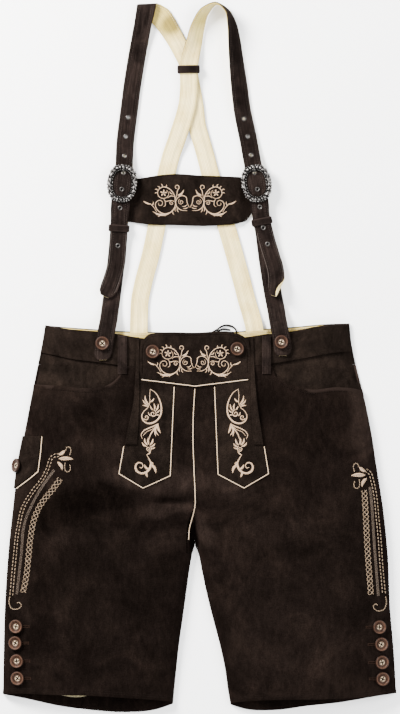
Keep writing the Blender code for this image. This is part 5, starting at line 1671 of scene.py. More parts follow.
def buckle_ring():
    """A cast oval frame: scrolled leaves between a beaded inner and a scalloped outer rim."""
    theta = np.linspace(0, 2 * math.pi, RING_STEPS, endpoint=False)[:, None]
    share, height = np.array(BUCKLE_SECTION).T[:, None, :]
    ends = np.exp(-((1 - np.abs(np.sin(theta))) / 0.10) ** 2)
    knobs = np.exp(-(np.sin(theta) / 0.11) ** 2)
    uneven = theta + 0.045 * np.sin(5 * theta + 1.3) + 0.020 * np.sin(13 * theta)
    lean = np.sign(np.sin(2 * theta)) * (1 - ends) * (1 - knobs)
    leaves = np.abs(np.sin(uneven * PETALS / 2 + lean * (share * 3.6 - 1.0))) ** 1.1
    veins = np.abs(np.sin(uneven * PETALS + lean * (share * 5.0) + 0.6)) ** 0.8
    curls = np.abs(np.sin(uneven * 9 - lean * share * 4.2 + 2.2 * np.sin(3 * theta)))
    scroll = 0.70 * leaves + 0.12 * veins + 0.35 * curls ** 2
    fan = np.abs(np.sin(theta * 14 + math.pi / 2)) ** 0.9
    scroll = scroll * (1 - ends) + fan * ends
    pits = soft_noise(theta * 22, share * 9, 1.0, 5)
    pearls = np.abs(np.cos(theta * BEADS / 2)) ** 1.1
    scallops = np.abs(np.cos(uneven * RIM_BEADS / 2)) ** 1.1
    middle = between(share, 0.16, 0.86)
    beads, rim = between(share, -0.02, 0.24), between(share, 0.70, 1.04)
    relief = np.maximum(middle * scroll, np.maximum(beads * pearls, rim * scallops))
    relief = relief + knobs * between(share, 0.25, 1.0) * 0.5
    worn = np.clip(relief + 0.22 * pits, 0, 1) * np.clip((height + 0.9) / 1.2, 0, 1)
    z = height + (1.9 * relief - 1.3 + 0.25 * pits) * np.clip((height + 1.2) / 1.0, 0, 1)
    outline = 0.042 * (scallops - 0.5) + 0.045 * (leaves - 0.5) * (1 - ends) + 0.03 * knobs
    reach = 1 + outline * share**2 + 0.02 * (pearls - 0.5) * (1 - share) ** 3
    power = 2 / BUCKLE_SQUARE
    x, y = [
        (inner + (outer - inner) * share) * reach * np.sign(wave) * np.abs(wave) ** power
        for inner, outer, wave in zip(BUCKLE_INNER, BUCKLE_OUTER, (np.cos(theta), np.sin(theta)))
    ]
    ring = np.stack([x, y, RING_HEIGHT + z * MM], -1)
    index = np.arange(z.size).reshape(z.shape)
    after, beside = np.roll(index, -1, axis=0), np.roll(index, -1, axis=1)
    faces = quads(index, after, np.roll(after, -1, axis=1), beside)
    uv = np.stack(np.broadcast_arrays(worn, theta), -1)
    return face_outward(mesh_from("buckle_frame", ring, faces.tolist(), uv))


def smooth_line(points, count):
    """A smooth line through a few points in metres."""
    table = np.array([(*p, 0.0) for p in np.asarray(points) / MM])
    return smooth_rows(table, count)[:, :3] * MM


def wire(name, points, radius, finish, replaces=(), sides=12, up=(0, 0, 1.0)):
    points = np.asarray(points, float)
    normals = np.tile(np.array(up), (len(points), 1))
    return round_cord(name, points, normals, radius, [finish], replaces, sides)


# y and height of the prong's line: an eye round the bar, through the hole, onto the rim.
PRONG_BELOW = [
    (-2.3, -0.2), (-1.7, 1.6), (-0.2, 2.4), (4.0, 2.4), (8.5, 1.2), (12.2, 0.1), (14.6, 0.5),
    (15.6, 2.8),
]
PRONG_ABOVE = [(16.0, -1.0), (17.6, 2.4), (20.5, 3.4), (25.8, 3.0)]


def build_buckles():
    ring = buckle_ring()
    for side, word in SIDES:
        place = buckle_place(side)
        mesh = ring.copy()
        mesh.transform(place)
        add_piece("buckle_frame_" + word, mesh, [SILVER], ["buckle_" + word])
        leg = [
            (BAR_REACH, 0, RING_HEIGHT - 0.0008), (BAR_REACH, 0, BAR_HEIGHT + 0.003),
            (BAR_REACH - 0.0008, 0, BAR_HEIGHT + 0.0008), (BAR_REACH - 0.003, 0, BAR_HEIGHT),
        ]
        bar = [(-x, y, z) for x, y, z in leg] + [(0, 0, BAR_HEIGHT)] + leg[::-1]
        line = smooth_line([place @ Vector(p) for p in bar], 60)
        wire("buckle_bar_" + word, line, BAR_RADIUS, WIRE, sides=10,
             up=(0.02, 1.0, 0.03))
        prong = [
            (0, y * MM, base + z * MM)
            for rows, base in ((PRONG_BELOW, BAR_HEIGHT), (PRONG_ABOVE, RING_HEIGHT))
            for y, z in rows
        ]
        line = smooth_line([place @ Vector(p) for p in prong], 70)
        wire("prong_wire_" + word, line, PRONG_RADIUS, WIRE,
             ["prong_" + word], up=(1.0, 0.02, 0.0))


# ---------------------------------------------------------------- buttons

# name, x, y, lift of its underside above the front, turn of its holes in degrees
BUTTONS = [
    ("flap_left", -68, 8, BAND_LIFT, 20), ("flap_right", 54, 12, BAND_LIFT, 52),
    ("strap_left", -141, 20, LAY + STRAP_STACK, 8),
    ("strap_right", 118, 22, LAY + STRAP_STACK, 35),
    ("leg_left_1", -265, -389, 0, 30), ("leg_left_2", -266, -413, 0, 12),
    ("leg_left_3", -264, -439, 0, 48), ("leg_left_4", -263, -464, 0, 5),
    ("leg_right_1", 259, -390, 0, 40), ("leg_right_2", 262, -415, 0, 18),
    ("leg_right_3", 263, -441, 0, 60), ("leg_right_4", 264, -465, 0, 25),
    ("knife_pocket", -262, -157, BAND_LIFT, 0),
]
# radius and height as shares of the button's own
BUTTON_CURVE = [
    (0.0, 0.46), (0.20, 0.46), (0.36, 0.47), (0.46, 0.50), (0.54, 0.60), (0.60, 0.66),
    (0.66, 0.60), (0.71, 0.72), (0.78, 0.92), (0.85, 1.0), (0.91, 0.97), (0.965, 0.84),
    (0.995, 0.64), (1.0, 0.48), (0.97, 0.26), (0.90, 0.10), (0.80, 0.03), (0.55, 0.0), (0.0, 0.0),
]
HOLE_REACH, HOLE_RADIUS = 0.0026, 0.0011
THREAD_HEIGHT = BUTTON_HEIGHT * 0.46 - 0.0006


def button_mesh():
    """A turned horn button with its four holes, at the origin."""
    profile = np.array(BUTTON_CURVE) * (BUTTON_RADIUS, BUTTON_HEIGHT)
    base = add_piece("button_base", spun("button_base", profile, 72), [HORN, HORN])
    holes = []
    for k in range(4):
        a = math.radians(45 + 90 * k)
        place = Vector((HOLE_REACH * math.cos(a), HOLE_REACH * math.sin(a), BUTTON_HEIGHT))
        holes.append((place, HOLE_RADIUS))
    cutter = pegs("button_pegs", holes)
    drill(base, cutter)
    settle(base)
    mesh = base.data
    PIECES.remove(base)
    bpy.data.objects.remove(base)
    bpy.data.objects.remove(cutter)
    return mesh


def crossed_threads(matrix, normal):
    """Two pairs of threads that cross over a button from hole to hole."""
    rows = []
    for angle, height in ((45, THREAD_HEIGHT), (135, THREAD_HEIGHT + 0.00035)):
        c, s = math.cos(math.radians(angle)), math.sin(math.radians(angle))
        for shift in (-0.00042, 0.00042):
            start, end = [
                matrix @ Vector((reach * c - shift * s, reach * s + shift * c, height))
                for reach in (-HOLE_REACH - 0.0005, HOLE_REACH + 0.0005)
            ]
            rows.append((np.array([start]), np.array([end]), normal[None, :], 0.0005, 0.0013))
    return rows


def build_buttons():
    base = button_mesh()
    rows = []
    for name, x, y, lift, turn in BUTTONS:
        place, normal = on_front(x * MM, y * MM, lift)
        matrix = frame_at(place + normal * (LAY + GAP), normal)
        matrix = matrix @ Matrix.Rotation(math.radians(turn), 4, "Z")
        mesh = base.copy()
        mesh.transform(matrix)
        if name.startswith("leg"):
            mesh.materials.clear()
            mesh.materials.append(PALE_HORN)
        add_piece("horn_" + name, mesh, [], ["button_" + name])
        rows += crossed_threads(matrix, normal)
    stitch_mesh("button_threads", rows, BUTTON_SEWING)


# ---------------------------------------------------------------- piping and lace

CENTRE_PIPING = [
    (-7, -45.5), (-9, -79), (-9.7, -112), (-8.2, -162), (-6.6, -200), (-6.5, -212),
    (-8.3, -221), (-12, -234), (-15.2, -245.8), (-16.3, -255), (-16.6, -264),
]
# x, y, z
LACE_LOOP = [
    (2.6, 20.4, 5.4), (10, 30, 5.6), (15, 34.5, 5.5), (20.5, 37.7, 4.6), (26.5, 41.4, 2.9),
    (31.5, 45.0, 1.8), (37, 46.8, 1.5), (43.5, 46.4, 1.6), (48.4, 44.4, 2.4),
    (51.6, 41, 4.2), (53, 37, 5.4), (53, 33, 5.6), (51.4, 24, 5.4),
]
LACE_END = [
    (18.1, 30.2, 5.6), (21.5, 34.4, 5.6), (25.5, 37.6, 4.8), (30, 40.0, 3.6),
    (35, 41.0, 2.8), (40, 40.8, 2.6), (45, 39.6, 3.0),
]
CORD_RADIUS = 0.00062       # the cord inside its cover, which the suede grips


def piping(name, xy, lift, node):
    line = resample(np.asarray(xy, float) * MM, 0.0009)
    points, normals = on_front(line[:, 0], line[:, 1], lift)
    round_cord(name, points, normals, CORD_RADIUS, [PIPING], [node], 10)


def build_piping():
    """Cream piping under the flap, round both tabs, down the centre, by the knife pocket."""
    flat = LAY + CORD_RADIUS
    seam = [(x, flap_bottom(x * MM) / MM) for x in (-84.5, -7, 69.8)]
    piping("flap_piping", seam, BAND_LIFT + flat, "piping_flap")
    beside = (PIPING_RADIUS + GAP + 0.0003) / MM
    for side, word in SIDES:
        (xi, yi), (xp, yp), (xo, yo) = TAB_POINTS[side]
        route = [
            (tab_inner[side](-0.042) / MM - side * beside, -42.2),
            (xi - side * beside, yi - beside / 2), (xp, yp - beside),
            (xo + side * beside, yo - beside / 2),
            (tab_outer[side](-0.128) / MM + side * beside, -128),
        ]
        piping("tab_piping_" + word, route, flat, "piping_tab_" + word)
    piping("centre_piping", smooth_path(CENTRE_PIPING, 60), flat, "piping_center")
    (x0, y0), (x1, y1) = KNIFE_EDGE
    route = [(x0 + 1.2, y0), (x0 - 1, y0 - 26), (x1 + 1.6, y1)]
    for share in (0.3, 0.6, 0.8, 0.92):
        x = x1 + (side_left(KNIFE_SEAM_Y) / MM - x1) * share
        route.append((x, knife_bottom(x * MM) / MM - 2.2))
    piping("pocket_piping", route, flat, "piping_knife_pocket")


def build_lace():
    for name, node, rows, end in (("lace_bow", "lace_loop", LACE_LOOP, "object"),
                                  ("lace_tip", "lace_end", LACE_END, "bare")):
        points = resample(smooth_rows(rows, 90) * MM, 0.0012)
        made = wire(name, points, LACE_RADIUS, LACE, [node], 12)


build_chest_strap()
build_keepers()
build_buckles()
build_buttons()
build_piping()
build_lace()


# ---------------------------------------------------------------- embroidery motifs

def along_stroke(share, widths):
    """A stroke's widths, given evenly along it, at these shares of its length."""
    return np.interp(share, np.linspace(0, 1, len(widths)), widths)


def curve(points, widths, count=80):
    """A stroke through the points."""
    return smooth_path(points, count), along_stroke(np.linspace(0, 1, count), widths)


def spiral(x, y, r0, r1, a0, a1, widths, count=90):
    """A scroll round x, y from radius r0 to r1 while it turns from a0 to a1 degrees."""
    share = np.linspace(0, 1, count)
    radius, angle = r0 + (r1 - r0) * share**0.85, np.radians(a0 + (a1 - a0) * share)
    path = np.stack([x + radius * np.cos(angle), y + radius * np.sin(angle)], -1)
    return path, along_stroke(share, widths)


def leaf(base, tip, wide, bend=0.12):
    """A leaf: full in the middle, pointed at both ends, bent to one side."""
    share = np.linspace(0, 1, 40)
    base, tip = np.array(base, float), np.array(tip, float)
    run = tip - base
    side = np.array((-run[1], run[0]))
    path = base + run * share[:, None] + side * (bend * np.sin(math.pi * share))[:, None]
    return path, 0.22 + wide * np.sin(math.pi * share**0.85) ** 0.8


def flower(x, y, reach):
    """Five petals round a curl."""
    made = []
    for k in range(5):
        a = math.radians(90 + 360 * k / 5)
        c, s = math.cos(a), math.sin(a)
        made.append(leaf((x + c * reach * 0.30, y + s * reach * 0.30),
                         (x + c * reach, y + s * reach), reach * 0.27, 0.1))
    made.append(spiral(x, y, reach * 0.26, 0.2, 0, 500, (0.4, 0.4)))
    return made


def half_band():
    """One half of the mirrored scrollwork on the flap and on the chest strap."""
    made = [
        # heart scroll at the centre, its inner curl and its small leaves
        curve([(4.0, -14.4), (12.5, -13.6), (18.4, -9.0), (20.4, -2.2), (17.4, 4.2),
               (10.4, 7.2), (5.2, 4.8), (4.2, -1.0), (2.4, -6.6), (0.9, -9.4)],
              (0.45, 0.85, 0.75, 0.85, 0.95, 0.5)),
        spiral(12.6, -1.8, 4.4, 0.9, 60, -420, (0.4, 0.6, 0.5)),
        leaf((4.6, -6.0), (10.6, -8.2), 0.8, -0.2), leaf((3.0, -9.8), (9.4, -11.2), 0.7, -0.12),
        leaf((20.4, -9.0), (20.8, -15.4), 0.8, 0.15), leaf((18.2, -10.8), (16.4, -16.6), 0.7),
        # main stem into the ring round the flower
        curve([(19.6, -9.4), (21.0, -2.0), (21.4, 5.0), (25.0, 12.6), (31.0, 18.0),
               (38.4, 19.8), (44.8, 16.2), (46.6, 10.0), (43.6, 5.0), (37.6, 3.2),
               (32.4, 5.6), (30.8, 10.8), (33.4, 15.0)],
              (0.5, 0.9, 1.0, 0.95, 0.75, 0.7, 0.6, 0.35), 140),
        leaf((22.6, 6.0), (32.0, 4.2), 0.8, 0.16), leaf((24.6, 9.6), (29.0, 13.4), 0.8, -0.2),
        # curl and leaf between the ring and the lower stem
        spiral(26.2, -3.4, 3.9, 0.8, 150, -300, (0.5, 0.75, 0.5)),
        curve([(26.6, 0.4), (30.4, -0.2), (34.4, -1.0), (37.6, 1.8)], (0.5, 0.9, 0.4)),
        curve([(37.4, 2.4), (35.4, -2.4), (35.8, -7.4), (38.0, -8.6)], (0.4, 0.85, 0.4)),
        # lower stem and its scroll
        curve([(20.6, -5.4), (23.4, -12.4), (29.0, -17.6), (36.4, -19.2), (43.4, -16.6),
               (48.6, -11.0), (49.8, -5.0), (46.8, -0.6), (42.0, 0.2), (39.4, -3.2),
               (41.4, -7.0), (45.2, -6.0), (45.0, -3.4)],
              (0.5, 1.1, 1.2, 0.95, 0.7, 0.65, 0.4), 140),
        leaf((30.0, -18.8), (48.6, -20.0), 1.3, -0.10),
        leaf((37.0, -19.4), (53.4, -15.8), 1.2, -0.12),
        leaf((27.4, -17.2), (36.0, -22.6), 0.9, 0.12),
        leaf((25.0, -14.8), (23.2, -20.0), 0.8, 0.1),
        leaf((41.4, -18.2), (46.0, -23.2), 0.8, -0.12),
        # tail bud toward the outside
        curve([(48.0, -16.2), (52.4, -9.4), (57.0, -4.6)], (0.45, 0.6, 0.6)),
        leaf((56.4, -5.0), (67.0, -0.6), 1.5, -0.10), leaf((54.6, -7.0), (53.0, -1.8), 0.8, 0.15),
        # bud and leaf at the top
        curve([(20.2, 3.4), (18.6, 9.6), (17.8, 14.6), (15.4, 18.6), (17.0, 22.2), (20.6, 21.2),
               (20.6, 18.0), (18.6, 17.8)], (0.5, 0.9, 0.8, 0.5)),
        leaf((17.2, 8.0), (8.8, 15.6), 1.5, 0.16), leaf((16.2, 7.4), (10.6, 9.8), 0.6, 0.1),
    ]
    for turn, reach in ((112, 4.2), (78, 4.6), (50, 4.0), (22, 4.4), (-4, 3.6)):
        a = math.radians(turn)
        out = np.array((math.cos(a), math.sin(a)))
        centre = np.array((38.6, 11.5))
        made.append(leaf(centre + out * 8.2, centre + out * (8.2 + reach), 0.75, 0.25))
    return made + flower(37.9, 11.0, 4.9)


def tab_scroll():
    """The tall scroll on a tab, x toward the centre front, y up."""
    made = [
        # crescent, its thin inner line and the scroll it ends in
        curve([(-2.4, 46.0), (4.8, 41.0), (10.4, 32.0), (13.6, 20.0), (12.0, 7.6), (4.6, -1.0),
               (-5.0, -3.4), (-12.4, 0.6), (-14.4, 8.0), (-11.4, 14.2), (-6.2, 19.0),
               (-3.0, 26.4), (-3.2, 36.0), (-2.6, 45.0)],
              (0.4, 0.7, 1.2, 1.5, 1.4, 1.6, 1.1, 0.7, 0.6, 0.5, 0.4), 170),
        spiral(-8.2, 5.4, 4.2, 0.8, 210, 620, (0.9, 0.7, 0.45)),
        # leaves on the inner line
        leaf((-4.6, 24.0), (-9.8, 36.6), 1.3, 0.12), leaf((-5.2, 22.6), (-13.0, 30.4), 1.1, 0.10),
        leaf((-5.6, 20.6), (-13.2, 22.4), 1.1, -0.1), leaf((-2.6, 27.6), (3.0, 32.6), 1.2, -0.15),
        # flower head inside the crescent
        spiral(1.6, 10.6, 5.4, 0.8, 80, -420, (0.6, 0.95, 0.75, 0.45)),
        leaf((1.4, 15.8), (-2.0, 21.6), 1.1, 0.1), leaf((3.6, 16.0), (3.0, 25.2), 1.3, -0.1),
        leaf((5.6, 14.8), (9.2, 24.4), 1.2, -0.12), leaf((6.8, 12.2), (11.4, 16.2), 1.0, -0.12),
        leaf((6.6, 8.6), (10.4, 8.2), 0.8, 0.1), leaf((-2.4, 7.4), (-5.2, 12.6), 0.8, 0.1),
        # stems down to the bud
        curve([(8.6, -4.4), (2.0, -7.6), (-5.4, -10.6), (-12.4, -14.6), (-15.6, -20.4),
               (-13.8, -25.6)], (0.7, 1.1, 1.0, 0.7, 0.4)),
        curve([(8.2, -5.4), (0.0, -12.0), (-8.0, -15.8), (-12.6, -21.0)], (0.4, 0.5, 0.4)),
        curve([(7.8, -5.8), (2.6, -12.6), (-1.8, -19.0), (-4.4, -26.4)], (0.8, 1.0, 1.1, 0.6)),
        leaf((8.6, -3.6), (12.4, -17.4), 1.9, -0.10), leaf((7.6, -7.6), (5.6, -21.8), 1.3, -0.14),
        leaf((4.6, -10.6), (9.4, -20.6), 1.0, -0.1),
        # bud of petals round a curl
        leaf((-7.0, -36.8), (-14.2, -30.6), 1.3, 0.16),
        leaf((-6.2, -34.8), (-10.4, -24.8), 1.5, 0.14),
        leaf((-4.8, -33.8), (-5.2, -24.2), 1.5, 0.05),
        leaf((-3.2, -34.6), (1.6, -25.6), 1.5, -0.14),
        leaf((-1.8, -36.8), (4.6, -32.2), 1.3, -0.16),
        leaf((-1.4, -39.6), (4.4, -38.2), 1.0, -0.12),
        leaf((-1.8, -43.6), (-7.4, -48.4), 1.0, 0.14),
    ]
    made.append(spiral(-4.8, -40.2, 4.4, 0.6, 60, -560, (0.7, 0.7, 0.45)))
    return made


def tab_foot():
    """The low scroll near a tab's point."""
    return [
        curve([(1.8, 16.0), (5.2, 10.0), (7.6, 4.4), (6.0, -3.0), (0.9, -8.6), (-6.8, -10.2),
               (-13.0, -6.6), (-14.6, -0.2), (-11.4, 4.6), (-6.4, 4.6), (-4.0, 0.8),
               (-6.2, -2.6), (-9.0, -1.4)],
              (0.35, 0.9, 1.5, 1.4, 1.3, 1.5, 1.0, 0.6, 0.4), 140),
        leaf((7.2, 3.4), (14.4, -9.6), 1.6, 0.14), leaf((3.8, -4.8), (-1.6, 2.2), 1.3, 0.12),
        leaf((1.6, -8.2), (2.6, -15.6), 1.3, -0.12), leaf((7.8, 6.0), (10.8, 2.8), 0.8, 0.1),
    ]


def laid(strokes, origin, mirror, place, weight=1.0):
    """Satin stitches of a motif moved to its place, in millimetres."""
    parts = []
    for path, widths in strokes:
        moved = path * (mirror, 1) + origin
        parts += satin(moved, widths * weight, place, slant=24.0 * mirror)
    return parts


BAND_WEIGHT = 0.74          # the strokes on the flap and chest band are finer than on the tabs
FOOT_WEIGHT = 1.3           # and those of the low scrolls are bolder


def above_front(lift):
    """A way to lay threads on the front, this far above it."""
    return lambda x, y: on_front(x, y, lift)


def rows_beside(path, offset, spacing=0.6):
    """A line beside a path in millimetres."""
    path = resample(np.asarray(path, float), spacing)
    tangents = unit(np.gradient(path, axis=0))
    return path + np.stack([-tangents[:, 1], tangents[:, 0]], -1) * np.asarray(offset)[..., None]


def stitched(starts, ends, place, thick, height):
    """Single stitches between pairs of places in millimetres."""
    pa, na = place(starts[:, 0] * MM, starts[:, 1] * MM)
    pb, nb = place(ends[:, 0] * MM, ends[:, 1] * MM)
    return (pa, pb, unit(na + nb), thick * MM, height * MM)


LINK_HALF, LINK_THREAD = 0.46, 0.27     # half width of a link, thickness of its thread


def links(path, place, pitch=5.2, share=0.60):
    """Long chain links with gaps: each is two bowed threads that meet at its ends."""
    path = resample(path, pitch / 12)
    along = arc_length(path)
    parts = []
    for begin in np.arange(0.2, along[-1] - pitch * share, pitch):
        t = np.linspace(0, 1, 4)
        spots = begin + pitch * share * t
        centre = np.stack([np.interp(spots, along, c) for c in path.T], -1)
        tangents = unit(np.gradient(centre, axis=0))
        sides = np.stack([-tangents[:, 1], tangents[:, 0]], -1)
        bow = (LINK_HALF * np.sin(math.pi * np.array((0.06, 0.36, 0.64, 0.94))))[:, None]
        for sign in (-1, 1):
            line = centre + sides * bow * sign
            parts.append(stitched(line[:-1], line[1:], place, LINK_THREAD, 0.55))
    return parts


def cord_line(path, place, offset, wave=0.0, pitch=14.0, phase=0.0, thick=0.34, rise=0.5):
    """A couched cord beside a path, which may sway from side to side, in short stitches."""
    path = resample(np.asarray(path, float), 0.9)
    along = arc_length(path)
    sway = offset + wave * np.sin(2 * math.pi * along / pitch + phase)
    line = rows_beside(path, 0, 0.9)[: len(sway)]
    tangents = unit(np.gradient(line, axis=0))
    line = line + np.stack([-tangents[:, 1], tangents[:, 0]], -1) * sway[: len(line), None]
    line = resample(line, 1.5)
    run = line[1:] - line[:-1]
    return [stitched(line[:-1] - run * 0.10, line[1:] + run * 0.10, place, thick, rise)]


def plait(path, place, half=3.8, pitch=20.0):
    """Three strands, each a pair of fine cords, that swing over and under each other."""
    parts = []
    for k in range(3):
        for offset in (-0.42, 0.42):
            parts += cord_line(path, place, offset, half, pitch, 2 * math.pi * k / 3, 0.15,
                               0.40 + 0.12 * k)
    return parts


# Lines of the side embroidery, from the top down, and the hook that the outer one ends in.
# x, y
SIDE_LINES = {
    -1: {
        "outer": [(-203, -141), (-209, -141.5), (-214.4, -145.5), (-217.4, -153), (-220, -161),
                  (-228, -176.2), (-242.4, -195), (-254.6, -215.3), (-262.4, -245.8),
                  (-268.2, -295.1), (-272.6, -344.4)],
        "middle": [(-210.4, -162.8), (-226, -184), (-243.1, -214), (-252.4, -236.4),
                   (-258.2, -285.8), (-264.6, -342.9)],
        "braid": [(-201.2, -175.3), (-212.7, -190.8), (-227.9, -209.6), (-238.6, -231.8),
                  (-244.2, -257.9), (-247.4, -287.4), (-250.6, -315.4), (-255.4, -339.9)],
        "hook": [(-274.8, -345.6), (-275.8, -356), (-272.3, -363), (-263, -363.6),
                 (-257.9, -358.4), (-261.6, -354.2), (-266.4, -357.0)],
    },
    1: {
        "outer": [(240, -163), (245.3, -166.5), (250, -180), (253.2, -195), (257.4, -234.2),
                  (259.6, -255.9), (263.2, -305.2), (267.0, -345.1)],
        "middle": [(246.0, -187.3), (247.6, -200), (249, -216.8), (252.2, -266.1), (258.4, -345)],
        "braid": [(237.8, -192), (239.1, -212), (240.4, -235.8), (243, -286.4), (247.6, -343)],
        "hook": [(269.2, -345.8), (269.9, -357.4), (265.9, -365.0), (255.8, -365.9),
                 (250.9, -360.3), (254.4, -356.4), (258.7, -360.2)],
    },
}
# x, y of the flower's heart
SIDE_FLOWER = {-1: (-205.5, -146.5), 1: (241.5, -170.5)}


def side_flower():
    """Petals and thread loops that point toward the centre front, x along them."""
    petals = [
        leaf((2.2, 0.6), (22.4, -0.4), 3.2, 0.02), leaf((1.8, 6.4), (11.0, 12.2), 2.7, -0.10),
        leaf((0.4, -4.2), (6.6, -16.2), 2.6, 0.12),
    ]
    ribs = [
        curve([(3.2, 0.9), (10.0, 1.2), (20.6, 0.2)], (0.16, 0.16)),
        curve([(3.0, 7.0), (6.4, 9.6), (10.2, 11.8)], (0.16, 0.16)),
        curve([(1.2, -5.6), (4.2, -10.0), (6.2, -15.2)], (0.16, 0.16)),
    ]
    loops = [
        [(12.2, 11.8), (12.6, 15.6), (15.6, 17.6), (18.8, 15.6), (19.4, 11.0), (17.6, 5.4)],
        [(11.0, -5.4), (10.4, -12.6), (12.8, -18.4), (17.0, -18.0), (18.6, -11.6), (16.0, -5.6)],
    ]
    return petals, ribs, loops


def build_side_embroidery(side, word):
    """Chains, a fine line, a plait, a hook and a flower along a leg's outer edge."""
    place = above_front(0.00004)
    lines = {name: smooth_path(points) for name, points in SIDE_LINES[side].items()}
    chains, fine = [], []
    for offset in (-2.0, 2.0):
        chains += links(rows_beside(lines["outer"], offset), place)
    for offset in (-1.5, -0.5, 0.5, 1.5):
        fine += cord_line(lines["middle"], place, offset, 0.12, 2.6, offset, 0.17, 0.34)
    chains += links(lines["hook"], place, 3.2, 0.80)
    petals, ribs, loops = side_flower()
    x0, y0 = SIDE_FLOWER[side]
    for loop in loops:
        chains += links(smooth_path([(x0 - side * x, y0 + y) for x, y in loop]), place, 3.2, 0.80)
    stitch_mesh("side_chains_" + word, chains, SILK_MIDDLE)
    stitch_mesh("side_line_" + word, fine, SILK_DIM)
    strands = plait(lines["braid"], place)
    stitch_mesh("side_plait_" + word, strands, SILK_MIDDLE)
    bright = laid(petals, (x0, y0), -side, place)
    stitch_mesh("side_flower_" + word, bright, SILK)
    dim = laid(ribs, (x0, y0), -side, above_front(0.00050))
    stitch_mesh("side_ribs_" + word, dim, SILK_DIM)


# x, y of the tall scroll and of the low one on each tab
TAB_MOTIFS = {-1: ((-69, -92), (-78, -157)), 1: ((53.5, -92), (62, -157))}


def build_embroidery():
    """The mirrored scrollwork on flap and chest strap, the tabs' scrolls and the sides."""
    half = half_band()
    top = above_front(BAND_LIFT + 0.00004)

    def on_band(x, y):
        return on_chest(x, y, 0.00004)
    for name, middle, place in (("flap", (-8.0, -5.6), top), ("chest", (-14.4, 227.2), on_band)):
        parts = []
        for mirror in (1, -1):
            parts += laid(half, middle, mirror, place, BAND_WEIGHT)
        stitch_mesh(name + "_embroidery", parts, SILK)
    for side, word in SIDES:
        upper, foot = TAB_MOTIFS[side]
        parts = laid(tab_scroll(), upper, -side, top)
        parts += laid(tab_foot(), foot, -side, top, FOOT_WEIGHT)
        stitch_mesh("tab_embroidery_" + word, parts, SILK)
        build_side_embroidery(side, word)


build_embroidery()


# ---------------------------------------------------------------- sewing

def beside_mm(points, offset):
    """A smooth line offset millimetres to the left of a route in millimetres."""
    return rows_beside(resample(smooth_path(points, 200), 1.0), offset, 0.8)


def edge_route(edge, x0, x1):
    """x, y in millimetres along an edge function from x0 to x1."""
    x = np.linspace(x0, x1, 60)
    return np.stack([x, edge(x * MM) / MM], -1)


def row(xy, lift):
    """One row of stitches over the front, on leather that stands lift above it."""
    points, normals = front_line(xy, lift + 0.00002)
    return running(points, normals, 0.0024, 0.0011, 0.00026, 0.00036)


def bar_tack(x0, y0, x1, y1, lift, half=0.9):
    """A short dense bar of satin stitches."""
    path = ((x0, y0), (x1, y1))
    return satin(path, (half, half), above_front(lift), 10, 0.42, 0.0003, 0, 0.0002)


def body_rows():
    """Rows on the waistband, under the pocket openings, by the hems and down the centre."""
    rows = []
    for x0, x1 in ((-218, -121), (105, 211)):
        for edge, offset in ((waist_seam, 2.2), (front_waist, -2.8), (front_waist, -8.0)):
            rows.append(row(beside_mm(edge_route(edge, x0, x1), offset), 0))
    for side, x0, x1 in ((-1, -236, -118), (1, 107, 238)):
        route = edge_route(pocket[side], x0, x1)
        for offset in (-1.9, -6.0):
            rows.append(row(beside_mm(route, offset), 0.0003))
    for side, x0, x1 in ((-1, -277, -44), (1, 50, 277)):
        route = edge_route(front_hem[side], x0, x1)
        rows.append(row(beside_mm(route, 4.6), HEM_RISE * 0.9))
        rows.append(row(beside_mm(route, 7.4), 0.0001))
        x = np.linspace(x0, x1, 240) * MM
        inner = np.stack([x, back_hem[side](x) + 0.0048, LEATHER + 0 * x], -1)
        rows.append(running(inner, upward(inner), 0.0026, 0.0012))
    for shift in (-3.4, 3.4):
        rows.append(row(beside_mm(CENTRE_PIPING[:7], shift), 0))
    return rows


# up the flap's left side, over its top and down its right side
FLAP_ROUTE = [
    (-87, -24), (-87, -8), (-87, 8), *FLAP_TOP[1:-1], (73, 8), (73, -8), (73, -24),
]


def flap_rows():
    """Two rows inside the flap's sides and top, one inside its lower edge."""
    rows = []
    for inset in (2.2, 6.2):
        line = beside_mm(FLAP_ROUTE, -inset)
        rows.append(row(line[line[:, 1] > -30], BAND_LIFT))
    low = [(x, flap_bottom(x * MM) / MM + 3.4) for x in (-83, -7, 69)]
    rows.append(row(low, BAND_LIFT))
    return rows


def tab_rows(side):
    """Rows inside a tab's edges and along its placket, with bar tacks."""
    (xi, yi), (xp, yp), (xo, yo) = TAB_POINTS[side]
    inset = 2.0
    rows = [row([
        (tab_inner[side](-0.046) / MM + side * inset, -46), (xi + side * inset, yi + inset / 2),
        (xp, yp + inset * 1.15), (xo - side * inset, yo + inset / 2),
        (tab_outer[side](-0.130) / MM - side * inset, -130),
    ], BAND_LIFT)]
    outer = placket_edges[side][1]
    for ys, lift in (((27, 10, -10), BAND_LIFT), ((-32, -60, -90, -123), OVER_LIFT)):
        rows.append(row([(outer(y * MM) / MM - side * 1.8, y) for y in ys], lift))
    near, far = [edge(-0.122) / MM for edge in placket_edges[side]]
    rows += bar_tack(near + side * 2, -122.5, far - side * 2, -122.5, OVER_LIFT, 0.5)
    near, far = tab_inner[side](-0.142) / MM, tab_outer[side](-0.142) / MM
    rows.append(row([(near + side * 3, -141), (far - side * 3, -142.5)], BAND_LIFT))
    return rows


# Painted shade where the seat seam closes at the crotch: middle lines and half widths.
SEAT_CREASE_SHADE = [
    ([(-7.05, -218), (-7.1, -235), (-7.4, -250), (-7.3, -266)], 0.0012),
    ([(-10.6, -222), (-14.6, -233), (-17.9, -245), (-19.0, -262), (-18.4, -284)], 0.0010),
]


